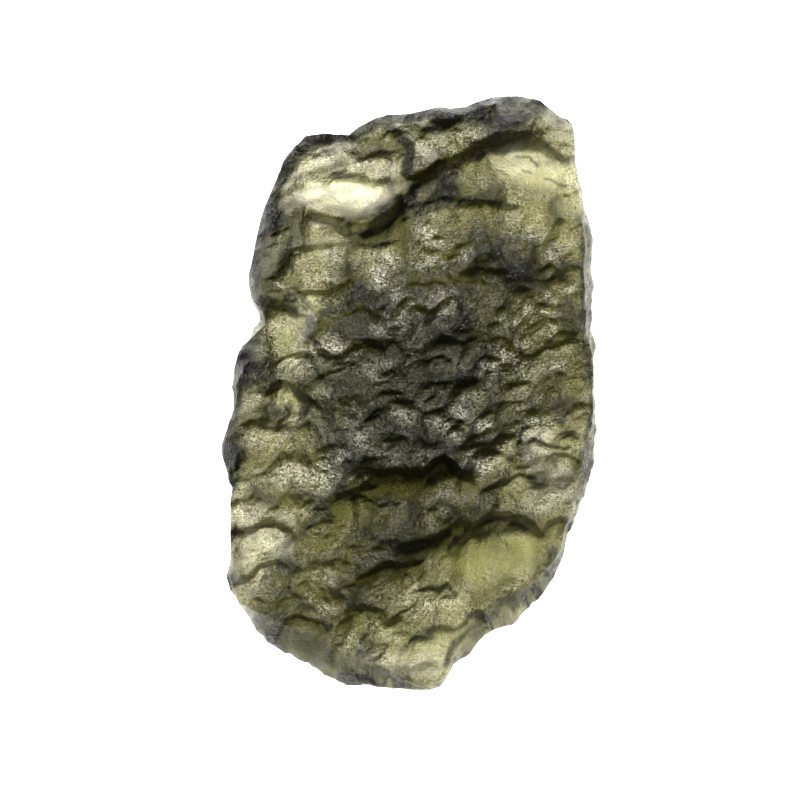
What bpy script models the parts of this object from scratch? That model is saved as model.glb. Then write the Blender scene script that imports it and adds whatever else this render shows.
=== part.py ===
"""A moldavite: one natural slab of green impact glass, pitted all over by the soil it lay in.

The stone lies on a small flat spot of its underside. Its long side runs along Y and its thickness
along Z. The origin is on the surface it lies on, under the middle of its bounding box.
The sculpture is worked out in millimetres.
"""

import math

import bmesh
import bpy
import numpy as np

MM = 0.001

# Driving dimensions, in millimetres
HALF_WIDTH = 10.75
HALF_LENGTH = 17.0
CROWN_Z = 7.7
RIM_TOP_Z = 5.2
RIM_UNDER_Z = 2.2
THINNEST = 0.5
FLAT_HALF_WIDTH = 2.6
FLAT_HALF_LENGTH = 4.0
FLAT_CLIMB = 2.6
UNDERCUT = 0.4
LEDGE_TAPER = 1.2
SHOULDER_SLOPE = 0.9
SHOULDER_BEND = 0.3
CUP_STRETCH = 1.1

# Round etch cups of the face and the underside, and chips of the edge: how far apart they are, how
# deep, and the seed that places them
FACE_CUPS = ((2.6, 0.5, 11), (1.5, 0.75, 12))
BACK_CUPS = ((1.6, 0.3, 41),)
CHIPS = ((1.3, 0.25, 51),)

# The block is cut this many times along each edge, and thinned to this many triangles at the end
BLOCK_CUTS = 79
TRIANGLES = 9600

# The silhouette from above, anticlockwise from the top right corner: x, y, how wide the steep side
# looks from above there, and how wide a shoulder slopes down to it from the face
RIM = (
    (6.3, 17.0, 0.2, 1.3), (4.8, 16.9, 0.2, 1.2), (3.3, 16.35, 0.2, 0.9), (2.4, 16.2, 0.2, 0.6),
    (1.7, 16.3, 0.2, 0.5), (0.2, 15.95, 0.2, 0.4), (-1.2, 15.95, 0.2, 0.3), (-1.8, 15.7, 0.2, 0.3),
    (-2.8, 15.2, 0.2, 0.2), (-3.4, 14.7, 0.2, 0.2), (-4.8, 14.8, 0.2, 0.2), (-5.9, 14.6, 0.2, 0.3),
    (-6.6, 13.9, 0.2, 0.3), (-7.2, 13.1, 0.2, 0.2), (-7.35, 12.6, 0.2, 0.2), (-8.0, 11.2, 0.2, 0.3),
    (-8.6, 9.4, 0.2, 0.3), (-8.9, 7.9, 0.2, 0.3), (-9.2, 6.5, 0.2, 0.3), (-9.0, 5.2, 0.4, 0.3),
    (-8.65, 4.6, 0.6, 0.2), (-8.65, 4.0, 0.6, 0.2), (-9.2, 3.2, 0.4, 0.3), (-9.75, 2.4, 0.2, 0.5),
    (-10.1, 1.0, 0.2, 0.5), (-10.05, -1.0, 0.2, 0.4), (-10.4, -2.0, 0.2, 0.4), (-10.75, -3.1, 0.2, 0.4),
    (-10.6, -4.0, 0.2, 0.3), (-10.15, -5.5, 0.2, 0.2), (-10.2, -7.5, 0.2, 0.1), (-10.15, -9.4, 0.2, 0.1),
    (-10.35, -10.4, 0.3, 0.2), (-10.2, -11.3, 0.3, 0.4), (-9.8, -12.2, 0.3, 0.4), (-9.1, -13.1, 0.9, 0.1),
    (-8.2, -14.2, 1.6, 0.0), (-6.8, -15.1, 1.9, 0.0), (-5.4, -15.9, 2.1, 0.0), (-3.5, -16.85, 2.0, 0.0),
    (-2.0, -16.7, 1.3, 0.0), (-0.6, -16.9, 0.8, 0.0), (0.9, -17.0, 0.5, 0.0), (1.8, -16.8, 0.5, 0.0),
    (2.2, -16.4, 0.4, 0.0), (2.6, -15.6, 0.7, 0.0), (3.5, -15.0, 1.2, 0.0), (4.1, -14.2, 1.4, 0.0),
    (4.9, -13.65, 1.5, 0.0), (5.9, -13.4, 1.5, 0.0), (6.5, -12.8, 1.4, 0.0), (7.5, -11.7, 1.1, 0.0),
    (8.2, -10.8, 0.9, 0.0), (8.95, -9.2, 0.5, 0.0), (9.2, -8.0, 0.5, 0.0), (9.8, -6.8, 0.6, 0.0),
    (10.3, -5.3, 0.8, 0.0), (10.7, -3.9, 0.9, 0.0), (10.65, -3.2, 0.8, 0.0), (10.75, -1.9, 0.4, 0.0),
    (10.65, 0.0, 0.25, 0.0), (10.7, 1.9, 0.3, 0.0), (10.6, 3.6, 0.6, 0.0), (10.65, 5.5, 0.8, 0.0),
    (10.5, 7.2, 0.8, 0.0), (10.6, 8.6, 0.85, 0.0), (10.4, 9.4, 0.75, 0.0), (10.1, 10.6, 0.6, 0.1),
    (9.9, 12.0, 0.45, 0.2), (9.6, 13.2, 0.3, 0.2), (9.55, 14.5, 0.3, 0.3), (9.35, 15.4, 0.3, 0.4),
    (8.3, 16.1, 0.3, 0.9), (7.6, 16.7, 0.2, 1.2),
)

# Sharp rims on the face, each falling away towards -Y: drop, width of the steep wall, how far the
# floor below takes to climb back, and the rim's line from left to right
LEDGES = (
    # the wall under the pale window at the top left, and a thin step below it
    (1.7, 0.75, 3.2, ((-6.2, 9.9), (-5.4, 10.3), (-4.3, 10.1), (-3.4, 9.6), (-2.6, 9.4), (-1.8, 9.8),
     (-1.1, 10.4), (-0.5, 11.2), (0.3, 12.0))),
    (0.3, 0.3, 1.4, ((-7.2, 8.0), (-5.6, 8.1), (-4.4, 8.3), (-3.2, 8.6), (-2.2, 9.1))),
    # the ridge along the top, whose wall stands over the pale hollow at the top right
    (0.9, 0.5, 3.0, ((-0.6, 12.2), (0.6, 12.6), (1.6, 13.1), (2.8, 13.6), (3.9, 13.9), (5.0, 14.4),
     (6.2, 14.8), (7.4, 14.9))),
    (0.35, 0.35, 1.6, ((-0.6, 10.3), (0.8, 10.9), (2.2, 11.0), (3.2, 11.0), (4.4, 10.8), (5.5, 10.5),
     (6.8, 10.6))),
    (0.6, 0.5, 2.2, ((6.9, 15.0), (7.5, 14.2), (8.1, 13.75), (8.8, 13.3), (9.5, 13.1))),
    # steps and flow lines across the upper middle
    (0.6, 0.4, 1.6, ((-8.6, 5.4), (-7.6, 5.2), (-6.8, 5.0), (-6.0, 4.7), (-5.2, 4.2))),
    (0.5, 0.35, 1.4, ((-6.7, 6.1), (-5.9, 5.8), (-5.2, 5.7), (-4.4, 5.9), (-3.6, 6.3), (-2.6, 6.9))),
    (0.25, 0.3, 1.3, ((-0.6, 6.1), (0.4, 6.3), (1.4, 6.4), (2.2, 6.2), (3.2, 5.8))),
    (0.25, 0.3, 1.3, ((2.2, 6.4), (3.0, 6.8), (4.0, 7.0), (5.0, 6.8), (6.0, 6.4))),
    (0.45, 0.35, 1.2, ((6.6, 6.9), (7.6, 7.2), (8.6, 6.6), (9.6, 6.2))),
    (0.25, 0.3, 1.4, ((-4.9, 4.2), (-3.8, 4.5), (-2.6, 4.7), (-1.6, 4.4), (-0.8, 3.9))),
    (0.25, 0.3, 1.3, ((2.4, 2.7), (3.4, 3.1), (4.2, 3.2), (5.0, 3.2), (5.9, 2.8))),
    (0.45, 0.35, 1.4, ((6.4, 2.1), (7.4, 2.6), (8.4, 2.9), (9.6, 3.1), (10.4, 3.0))),
    # short flow lines in the dark middle
    (0.25, 0.3, 1.2, ((-6.0, 0.6), (-4.9, 1.0), (-4.0, 1.4), (-3.2, 1.7), (-2.4, 1.5))),
    (0.25, 0.3, 1.2, ((0.4, 1.5), (1.2, 1.9), (2.0, 2.0), (3.0, 1.6))),
    (0.4, 0.35, 1.2, ((1.7, 0.1), (2.3, 0.6), (3.0, 0.75), (4.0, 0.95), (4.6, 0.6))),
    (0.4, 0.35, 1.2, ((4.6, -0.1), (5.2, 0.35), (6.0, 0.5), (6.8, 0.65), (7.8, 0.1))),
    (0.7, 0.45, 1.7, ((-8.6, -0.4), (-8.0, 0.1), (-7.6, 0.6), (-7.1, 0.8), (-6.6, 0.6), (-6.1, 0.2),
     (-5.7, -0.1), (-4.8, -0.7))),
    (0.4, 0.35, 1.4, ((-9.8, -1.2), (-8.7, -1.6), (-7.2, -1.9), (-5.8, -1.7), (-4.9, -1.2))),
    (0.35, 0.35, 1.3, ((-2.4, -0.6), (-1.5, -0.1), (-0.6, 0.1), (0.5, -0.5))),
    (0.3, 0.35, 1.4, ((-2.0, -2.9), (-1.2, -2.4), (-0.3, -2.3), (0.7, -2.9))),
    # the black undercut below the middle
    (1.6, 0.55, 2.6, ((-4.3, -5.8), (-3.2, -5.2), (-2.3, -4.9), (-1.5, -4.4), (-0.8, -4.2), (0.1, -4.4),
     (0.8, -4.2), (1.3, -3.8), (1.9, -3.6), (2.6, -3.8), (3.2, -4.4), (4.0, -5.2))),
    (0.35, 0.3, 1.4, ((6.0, -3.0), (7.2, -2.5), (8.0, -2.9), (8.8, -3.1), (9.9, -2.9))),
    (0.45, 0.35, 1.8, ((7.1, -4.6), (7.7, -3.8), (8.4, -3.5), (9.0, -3.45), (9.9, -3.9))),
    (0.5, 0.35, 1.7, ((3.9, -5.5), (4.9, -4.9), (5.5, -4.75), (6.2, -4.5), (7.1, -4.9))),
    # the two rims over the wide scoop at the lower right, and the small one beside them
    (1.4, 0.55, 3.0, ((-1.0, -8.5), (0.3, -8.0), (1.1, -7.9), (1.7, -7.7), (2.3, -7.4), (3.0, -7.2),
     (3.9, -7.3))),
    (1.5, 0.6, 4.4, ((2.2, -9.0), (3.2, -7.8), (3.9, -7.15), (4.8, -6.8), (5.6, -6.7), (6.5, -6.85),
     (7.1, -7.2), (7.8, -8.0))),
    (0.7, 0.45, 2.0, ((7.2, -8.2), (7.9, -7.2), (8.6, -6.85), (9.8, -6.8))),
    (1.1, 0.5, 2.2, ((-3.6, -10.6), (-2.4, -9.8), (-1.7, -9.4), (-0.9, -9.35), (-0.1, -9.6), (0.6, -9.4),
     (1.6, -8.8))),
    # small round scoops along the bottom
    (0.6, 0.45, 2.0, ((-4.2, -12.8), (-3.3, -12.1), (-2.4, -11.95), (-1.6, -12.05), (-0.8, -12.8))),
    (0.5, 0.4, 1.5, ((-1.2, -12.9), (-0.7, -12.4), (-0.2, -12.45), (0.4, -13.1))),
    (0.5, 0.4, 1.6, ((-0.5, -11.7), (0.2, -11.1), (1.0, -10.9), (1.6, -11.1), (2.2, -10.7), (3.0, -11.5))),
    # the bright shelves at the lower left
    (0.9, 0.45, 1.9, ((-10.3, -7.6), (-9.0, -7.45), (-8.2, -7.3), (-7.4, -7.2), (-6.8, -7.4),
     (-6.0, -8.3))),
    (0.7, 0.4, 1.7, ((-10.3, -10.4), (-9.1, -10.2), (-8.6, -9.7), (-8.0, -9.45), (-7.3, -9.4),
     (-6.2, -10.1))),
    (0.7, 0.4, 1.9, ((-8.0, -12.9), (-6.3, -12.5), (-5.0, -12.6), (-3.9, -13.5))),
)

# Broad forms of the face, down where depth is above 0 and up where it is below: x, y, half width,
# half height, turn in degrees, depth
SCOOPS = (
    (-3.2, 11.0, 3.2, 1.5, -4.0, 0.6),
    (-4.8, 13.2, 2.6, 1.3, 28.0, 0.4),
    (6.6, 12.7, 3.2, 1.9, -12.0, 0.7),
    (4.6, -9.6, 5.0, 2.3, 24.0, 0.7),
    (8.6, -4.8, 1.4, 1.5, 0.0, 0.3),
    (2.4, -5.4, 1.6, 1.4, 10.0, 0.3),
    (-6.5, -4.4, 1.5, 1.4, -30.0, 0.35),
    (-7.0, -0.5, 1.8, 1.1, -8.0, 0.3),
    (-2.2, -13.2, 1.7, 1.4, 0.0, 0.3),
    (5.2, 15.6, 4.6, 2.4, 4.0, -0.9),
    (1.2, 15.4, 2.0, 1.2, 0.0, -0.5),
    (-9.4, 1.8, 2.4, 3.0, 0.0, -0.6),
    (-8.6, 8.6, 2.4, 4.6, 8.0, -0.7),
    (-6.6, 14.2, 2.6, 1.8, 30.0, -0.5),
    (-7.0, -14.0, 3.4, 1.6, -35.0, -0.5),
    (-1.6, -3.0, 4.6, 1.6, 10.0, -0.4),
    (5.6, 7.2, 3.6, 1.8, 0.0, -0.4),
)

# Smooth patches with few pits: x, y, half width, half height, turn in degrees, how calm from 0 to 1
CALM = (
    (-3.3, 11.0, 4.0, 1.7, -6.0, 0.85),
    (4.6, -9.3, 5.4, 2.3, 24.0, 0.8),
    (6.6, 12.9, 3.2, 1.9, -12.0, 0.6),
    (-6.0, -15.0, 5.0, 2.0, -35.0, 0.6),
    (1.5, -14.5, 3.6, 1.4, 20.0, 0.5),
    (-3.6, 0.5, 1.6, 0.8, 0.0, 0.8),
    (-3.0, 4.0, 2.4, 0.8, 4.0, 0.6),
    (4.2, 6.5, 1.6, 0.6, 4.0, 0.7),
    (1.2, 6.2, 1.8, 0.6, 0.0, 0.7),
)

# How thick the glass is under points of the face, in millimetres: x, y and thickness. The underside
# is hollowed to it, so the thin places glow
THICKNESS = (
    # the cream tongue at the top left, and the dark wall that ends it
    (-5.6, 10.9, 1.2), (-4.4, 11.2, 0.9), (-3.2, 11.0, 0.8), (-2.0, 10.9, 0.8), (-1.0, 11.3, 1.0),
    (-2.6, 10.2, 1.2), (-0.1, 11.0, 4.4), (-1.6, 9.2, 4.8), (-0.4, 10.0, 5.0), (-3.6, 8.8, 3.2),
    (-6.6, 10.4, 2.0), (-8.0, 10.4, 3.4), (-8.2, 8.4, 3.6),
    # the pale mottled shelf above it
    (-6.2, 12.8, 1.3), (-5.0, 13.2, 1.1), (-4.0, 12.8, 1.2), (-2.6, 13.2, 1.5), (-1.4, 13.0, 1.8),
    (-2.2, 14.4, 3.0), (-0.6, 14.8, 3.6), (0.6, 13.6, 4.6), (0.6, 15.2, 3.0), (-6.6, 13.8, 2.8),
    (-5.0, 14.5, 2.8), (-7.2, 11.8, 2.8),
    # the mint hollow at the top right, and the dark corner over it
    (5.0, 12.8, 1.8), (6.2, 13.4, 1.4), (7.4, 13.2, 1.3), (6.4, 12.2, 1.6), (8.8, 12.6, 1.6),
    (4.6, 13.6, 2.2), (8.8, 14.4, 1.5), (3.6, 12.8, 3.2), (2.0, 12.0, 4.8), (3.0, 15.2, 4.4),
    (5.0, 15.4, 4.2), (6.4, 16.2, 3.6), (7.8, 15.6, 2.8), (7.4, 14.4, 2.2), (3.0, 14.0, 3.4),
    # olive bands below them
    (-6.4, 8.4, 1.9), (-4.6, 8.1, 2.4), (-6.4, 7.0, 2.1), (-4.4, 7.0, 2.5), (-2.6, 7.6, 3.8),
    (3.6, 9.9, 2.8), (6.0, 9.8, 2.4), (8.6, 9.6, 1.8), (9.2, 7.6, 2.2), (0.8, 9.6, 3.4),
    (5.0, 8.2, 4.4), (0.0, 7.6, 4.4), (1.4, 6.2, 3.8), (5.0, 6.8, 5.4), (8.0, 6.0, 4.2), (3.2, 11.2, 3.2),
    # the pale column down the left side
    (-8.4, 6.0, 4.0), (-5.7, 5.0, 2.1), (-5.6, 3.4, 1.9), (-7.0, 3.2, 2.0), (-6.7, 1.6, 1.7),
    (-9.2, 2.6, 4.5), (-9.4, 1.0, 4.0), (-3.6, 4.4, 3.6), (-7.2, -0.9, 1.6), (-8.8, -1.0, 3.0),
    (-8.6, -2.6, 2.2), (-5.4, -0.8, 3.0), (-6.8, -4.3, 1.9), (-9.6, -3.8, 3.4), (-5.4, -2.6, 3.4),
    # the dark middle
    (-3.6, 0.6, 4.6), (-1.0, 2.8, 7.0), (-2.4, 5.8, 4.0), (2.0, 3.4, 6.4), (5.4, 3.4, 5.4), (0.4, 0.4, 7.5),
    (4.0, 2.0, 7.0), (7.6, 2.2, 4.2), (9.2, 0.6, 3.0), (6.4, -0.4, 5.0), (-3.6, -2.2, 5.0),
    (0.2, -2.4, 6.6), (4.2, -1.6, 5.4), (-1.8, -4.6, 7.6), (1.0, -4.2, 7.6), (-4.4, -4.4, 3.6),
    (1.6, -6.0, 4.8), (3.0, -5.2, 4.2), (-1.6, -6.4, 5.4),
    # the pale lower left corner
    (-9.2, -7.8, 1.3), (-8.8, -8.8, 1.3), (-7.4, -8.8, 1.4), (-9.0, -10.6, 1.2), (-6.0, -8.4, 3.0),
    (-7.2, -6.2, 3.0), (-9.6, -6.0, 1.8), (-7.0, -11.0, 3.0), (-6.0, -13.2, 4.0), (-9.4, -11.8, 3.0),
    (-4.4, -10.4, 3.6), (-3.4, -8.0, 3.8), (-1.8, -9.8, 5.4), (-4.2, -13.6, 4.5),
    # the pale right side
    (7.2, -3.4, 1.4), (8.8, -2.6, 1.6), (9.4, -4.6, 1.7), (7.6, -5.4, 1.5), (6.0, -4.4, 2.2),
    (5.8, -6.0, 2.0), (8.4, -7.2, 2.2), (7.8, -9.2, 2.4), (6.0, -8.6, 3.0), (4.2, -10.0, 3.4),
    (5.4, -12.0, 2.6), (2.4, -9.0, 4.6), (0.8, -8.6, 5.4), (3.4, -7.9, 5.5),
    # the pale lower tip
    (-2.4, -13.8, 2.4), (-0.4, -14.4, 1.8), (0.6, -15.4, 1.1), (-1.6, -15.4, 1.2), (-3.4, -14.6, 2.0),
    (1.8, -13.2, 2.0), (3.4, -12.6, 2.2), (-0.4, -12.4, 3.0), (-3.0, -11.8, 3.2), (1.8, -15.6, 1.3),
    (-4.2, -15.6, 3.6),
)


def smooth(t):
    """0 below 0, 1 above 1, and an S-shaped curve between them."""
    t = np.clip(t, 0.0, 1.0)
    return t * t * (3.0 - 2.0 * t)


def lattice_value(column, row, seed):
    """A repeatable number from 0 to 1 for each cell of a square lattice, mixed from its integers."""
    mixed = (column * 374761393 + row * 668265263 + seed * 974634777) & 0xFFFFFFFF
    mixed = ((mixed ^ (mixed >> 13)) * 1274126177) & 0xFFFFFFFF
    return ((mixed ^ (mixed >> 16)) & 0xFFFF) / 65535.0


def noise(x, y, seed):
    """Smooth noise from -1 to 1 with features one unit wide, blended between lattice corners."""
    column, row = np.floor(x).astype(np.int64), np.floor(y).astype(np.int64)
    across, up = smooth(x - column), smooth(y - row)
    low_left, low_right = lattice_value(column, row, seed), lattice_value(column + 1, row, seed)
    top_left, top_right = lattice_value(column, row + 1, seed), lattice_value(column + 1, row + 1, seed)
    low = low_left + (low_right - low_left) * across
    top = top_left + (top_right - top_left) * across
    return 2.0 * (low + (top - low) * up) - 1.0


def cups(x, y, pitch, seed):
    """Depth from 0 to 1 of round etch cups that bite into each other and leave sharp crests. Each
    cell of a lattice has one cup with its own middle, width and depth, a paraboloid that is steeper
    on its +Y side, and at each point the deepest cup counts."""
    across, up = x / (CUP_STRETCH * pitch), y / pitch
    column, row = np.floor(across).astype(np.int64), np.floor(up).astype(np.int64)
    deepest = np.zeros(np.shape(x))
    for step_x in (-1, 0, 1):
        for step_y in (-1, 0, 1):
            cell_x, cell_y = column + step_x, row + step_y
            middle_x = cell_x + lattice_value(cell_x, cell_y, seed)
            middle_y = cell_y + lattice_value(cell_x, cell_y, seed + 100)
            width = 0.5 + 0.4 * lattice_value(cell_x, cell_y, seed + 200)
            depth = 0.3 + 0.7 * lattice_value(cell_x, cell_y, seed + 300)
            rise = (up - middle_y) / width
            rise = np.where(rise > 0, 1.35 * rise, 0.8 * rise)
            side = (across - middle_x) / width
            deepest = np.maximum(deepest, depth * (1.0 - side**2 - rise**2))
    return deepest


def ledge(x, y, drop, wall, reach, line):
    """Height near a sharp rim: a slight lip along its line, a wall that falls by drop on the -Y
    side, and a floor that climbs back over reach. It tapers off towards both ends of the line."""
    line_x, line_y = np.array(line).T
    slope = np.interp(x, line_x, np.gradient(line_y, line_x))
    depth = (np.interp(x, line_x, line_y) - y) / np.sqrt(1.0 + slope**2)
    taper = smooth((x - line_x[0]) / LEDGE_TAPER) * smooth((line_x[-1] - x) / LEDGE_TAPER)
    floor = smooth(depth / wall) * (1.0 - smooth((depth - wall) / reach))
    lip = np.where(depth < 0, np.exp(-((depth / 0.7) ** 2)), 1.0 - smooth(depth / (0.4 * wall)))
    return taper * drop * (0.2 * lip - floor)


def oval(x, y, middle_x, middle_y, half_width, half_height, turn):
    """1 inside the middle half of a turned oval, falling smoothly to 0 at its edge."""
    cosine, sine = math.cos(math.radians(turn)), math.sin(math.radians(turn))
    along = ((x - middle_x) * cosine + (y - middle_y) * sine) / half_width
    across = ((y - middle_y) * cosine - (x - middle_x) * sine) / half_height
    return smooth((1.0 - np.hypot(along, across)) / 0.6)


def rim_at(angle):
    """At an angle round the stone's middle: the silhouette's radius, and the widths of the side and
    of the shoulder."""
    corners = np.array(RIM)
    corner_angle = np.arctan2(corners[:, 1], corners[:, 0])
    corner_radius = np.hypot(corners[:, 0], corners[:, 1])
    return [np.interp(angle, corner_angle, values, period=2 * math.pi)
            for values in (corner_radius, corners[:, 2], corners[:, 3])]


def share_to_rim(x, y):
    """0 at the stone's middle and 1 at its silhouette."""
    return np.hypot(x, y) / rim_at(np.arctan2(y, x))[0]


def broad_height(x, y):
    """The face without its ledges and cups: a low dome with broad scoops and swellings, and with
    shoulders that slope down to the rim."""
    distance = np.hypot(x, y)
    outer, side_width, shoulder_width = rim_at(np.arctan2(y, x))
    dome = RIM_TOP_Z + (CROWN_Z - RIM_TOP_Z) * (1.0 - (distance / outer) ** 2.6)
    past_shoulder = distance - (outer - side_width - shoulder_width)
    bend = (past_shoulder + np.hypot(past_shoulder, SHOULDER_BEND)) / 2.0
    shoulder = SHOULDER_SLOPE * bend * smooth(shoulder_width / 0.4)
    return dome - shoulder - sum(depth * oval(x, y, *place) for *place, depth in SCOOPS)


def etch_place(x, y):
    """Where a point of the face lies in the cups' lattice, which is bent by noise and climbs a
    little to the right."""
    return x + 0.35 * noise(x / 1.3, y / 1.3, 3), y + 0.35 * noise(x / 1.3, y / 1.3, 4) - 0.15 * x


def face_height(x, y):
    """Height of the upper face: its broad form with ledges, flow ripples and etch cups. The
    ledges' lines and the cups are bent a little by noise, so that none is too regular."""
    height = broad_height(x, y)
    edge_x = x + 0.22 * noise(x / 0.9, y / 0.9, 1)
    edge_y = y + 0.22 * noise(x / 0.9, y / 0.9, 2)
    height = height + sum(ledge(edge_x, edge_y, *values) for values in LEDGES)
    calm = sum(share * oval(x, y, *place) for *place, share in CALM)
    rough = 1.0 - np.clip(calm, 0.0, 0.9)
    bent_x, bent_y = etch_place(x, y)
    for pitch, depth, seed in FACE_CUPS:
        height = height - depth * rough * (cups(bent_x, bent_y, pitch, seed) - 0.5)
    return height + 0.2 * noise(x / 5.0, bent_y / 1.6, 21)


def glass_thickness(x, y):
    """Thickness of the glass: the values of the table's points, each weighted by how near it is, at
    a place bent by noise so that the glow ends in ragged edges."""
    x = x + 0.4 * noise(x / 2.0, y / 1.4, 71)
    y = y + 0.3 * noise(x / 2.0, y / 1.4, 72)
    total, weights = 0.0, 0.0
    for point_x, point_y, thickness in THICKNESS:
        weight = ((x - point_x) ** 2 + (y - point_y) ** 2 + 0.5) ** -2.0
        total, weights = total + weight * thickness, weights + weight
    return total / weights


def back_height(x, y):
    """Height of the underside: a shallow bowl that rises to the rim, hollowed further up where the
    glass is thin but never steeply from the flat spot under the stone's middle, with cups of its
    own."""
    off_flat = np.hypot(x / FLAT_HALF_WIDTH, y / FLAT_HALF_LENGTH) - 1.0
    climb = np.maximum(off_flat, 0.0) * FLAT_CLIMB
    bowl = RIM_UNDER_Z * smooth((share_to_rim(x, y) - 0.2) / 0.8)
    height = np.minimum(np.maximum(bowl, broad_height(x, y) - glass_thickness(x, y)), climb)
    bent_x = x + 0.4 * noise(x / 1.3, y / 1.3, 31)
    bent_y = y + 0.4 * noise(x / 1.3, y / 1.3, 32)
    for pitch, depth, seed in BACK_CUPS:
        height = height + depth * cups(bent_x, bent_y, pitch, seed)
    height = np.minimum(height * smooth(off_flat / 0.5), face_height(x, y) - THINNEST)
    return np.maximum(height, 0.0)


def stone_point(u, v, w):
    """The stone's skin for points on the skin of a cube that reaches from -1 to 1. The cube's top
    becomes the face, its bottom the underside, and its walls the steep sides, which are widest
    halfway down and tucked in below."""
    shell = np.maximum(np.abs(u), np.abs(v))
    angle = np.arctan2(v * HALF_LENGTH, u * HALF_WIDTH)
    outer, side_width, _ = rim_at(angle)
    down = (1.0 - w) / 2.0
    flare = np.clip(1.0 - 2.0 * down, 0.0, 1.0) ** 1.2 * side_width
    tuck = np.clip(2.0 * down - 1.0, 0.0, 1.0) ** 1.7 * UNDERCUT
    round_the_edge = angle * (HALF_WIDTH + HALF_LENGTH) / 2.0
    chips = sum(depth * cups(round_the_edge, 4.0 * down, pitch, seed) for pitch, depth, seed in CHIPS)
    chips = np.where(shell >= 1.0, chips * np.sin(math.pi * down), 0.0)

    radius = (outer - flare - tuck) * shell - chips
    face_radius = (outer - side_width) * shell
    back_radius = (outer - UNDERCUT) * shell
    face = face_height(face_radius * np.cos(angle), face_radius * np.sin(angle))
    back = back_height(back_radius * np.cos(angle), back_radius * np.sin(angle))
    height = face * (1.0 - down) + back * down
    return np.stack([radius * np.cos(angle), radius * np.sin(angle), height], axis=-1)


def glass_material():
    """Bottle green glass with an etched, half matt skin."""
    material = bpy.data.materials.new("moldavite_glass")
    material.use_nodes = True
    shader = material.node_tree.nodes["Principled BSDF"]
    shader.inputs["Base Color"].default_value = (0.36, 0.38, 0.2, 1.0)
    shader.inputs["Roughness"].default_value = 0.3
    shader.inputs["Metallic"].default_value = 0.0
    shader.inputs["IOR"].default_value = 1.49
    shader.inputs["Transmission Weight"].default_value = 0.9
    return material


def make_stone(collection):
    """A finely cut block, each of its points moved to the stone's skin, then thinned to the
    triangles that the sculpture needs."""
    block = bmesh.new()
    bmesh.ops.create_cube(block, size=2.0)
    bmesh.ops.subdivide_edges(block, edges=block.edges, cuts=BLOCK_CUTS, use_grid_fill=True)
    mesh = bpy.data.meshes.new("moldavite")
    block.to_mesh(mesh)
    block.free()

    corners = np.empty(len(mesh.vertices) * 3)
    mesh.vertices.foreach_get("co", corners)
    points = stone_point(*corners.reshape(-1, 3).T)
    points[:, :2] -= (points.min(axis=0) + points.max(axis=0))[:2] / 2.0
    mesh.vertices.foreach_set("co", (points * MM).ravel())
    mesh.materials.append(glass_material())
    mesh.shade_smooth()

    stone = bpy.data.objects.new("moldavite", mesh)
    collection.objects.link(stone)
    thin = stone.modifiers.new("thin", "DECIMATE")
    thin.ratio = TRIANGLES / (2 * len(mesh.polygons))


def main():
    for old in list(bpy.data.objects):
        bpy.data.objects.remove(old)
    collection = bpy.data.collections.new("moldavite")
    bpy.context.scene.collection.children.link(collection)
    make_stone(collection)


main()
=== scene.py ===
"""A moldavite, dressed: the finely etched slab of green glass, on a pale light table."""

import math

import bpy
import numpy as np
from bpy.props import FloatProperty, FloatVectorProperty, IntProperty, PointerProperty
from bpy.types import Operator, Panel, PropertyGroup
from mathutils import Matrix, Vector


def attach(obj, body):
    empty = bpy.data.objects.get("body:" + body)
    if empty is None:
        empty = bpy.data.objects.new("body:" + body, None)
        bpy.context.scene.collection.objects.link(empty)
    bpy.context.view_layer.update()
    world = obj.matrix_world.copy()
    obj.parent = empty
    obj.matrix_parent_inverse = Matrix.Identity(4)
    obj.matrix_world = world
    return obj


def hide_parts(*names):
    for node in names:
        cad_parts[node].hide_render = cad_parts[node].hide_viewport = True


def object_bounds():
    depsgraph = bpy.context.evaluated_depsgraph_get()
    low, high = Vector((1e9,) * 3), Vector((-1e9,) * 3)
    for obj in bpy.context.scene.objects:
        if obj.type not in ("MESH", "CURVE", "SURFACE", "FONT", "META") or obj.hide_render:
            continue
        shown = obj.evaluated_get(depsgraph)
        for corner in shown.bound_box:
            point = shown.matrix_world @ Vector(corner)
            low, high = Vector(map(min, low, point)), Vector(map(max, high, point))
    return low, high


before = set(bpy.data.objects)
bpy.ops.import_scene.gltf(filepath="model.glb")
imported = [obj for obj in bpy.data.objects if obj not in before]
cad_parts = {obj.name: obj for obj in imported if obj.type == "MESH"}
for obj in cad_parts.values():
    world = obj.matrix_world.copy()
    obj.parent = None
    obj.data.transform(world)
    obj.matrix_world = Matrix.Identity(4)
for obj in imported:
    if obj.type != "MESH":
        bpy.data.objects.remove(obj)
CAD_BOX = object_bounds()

bl_info = {
    "name": "Moldavite",
    "version": (1, 0, 0),
    "blender": (4, 5, 0),
    "location": "3D View > Sidebar > Moldavite",
    "description": "Builds an etched slab of natural green glass and the light table it lies on",
    "category": "Add Mesh",
}

MM = 0.001
NODE = "moldavite"
BODY = "root"

# Driving dimensions of the stone, in millimetres, from the middle of its silhouette
HALF_WIDTH = 10.75
HALF_LENGTH = 17.0
CROWN_Z = 7.7
RIM_TOP_Z = 5.2
RIM_UNDER_Z = 2.2
THINNEST = 0.5
FLAT_HALF_WIDTH = 2.6
FLAT_HALF_LENGTH = 4.0
FLAT_CLIMB = 4.2
UNDERCUT = 0.4
LEDGE_TAPER = 1.2
SHOULDER_SLOPE = 0.9
SHOULDER_BEND = 0.3
CUP_STRETCH = 1.1

# Slopes of the face are measured over twice this far
SLOPE_STEP = 0.07

# The marks on the skin, in the order in which skin_values gives them
SKIN_MARKS = ("frost_and_sheen", "silk", "shade_and_veins", "porous", "etched")
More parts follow.
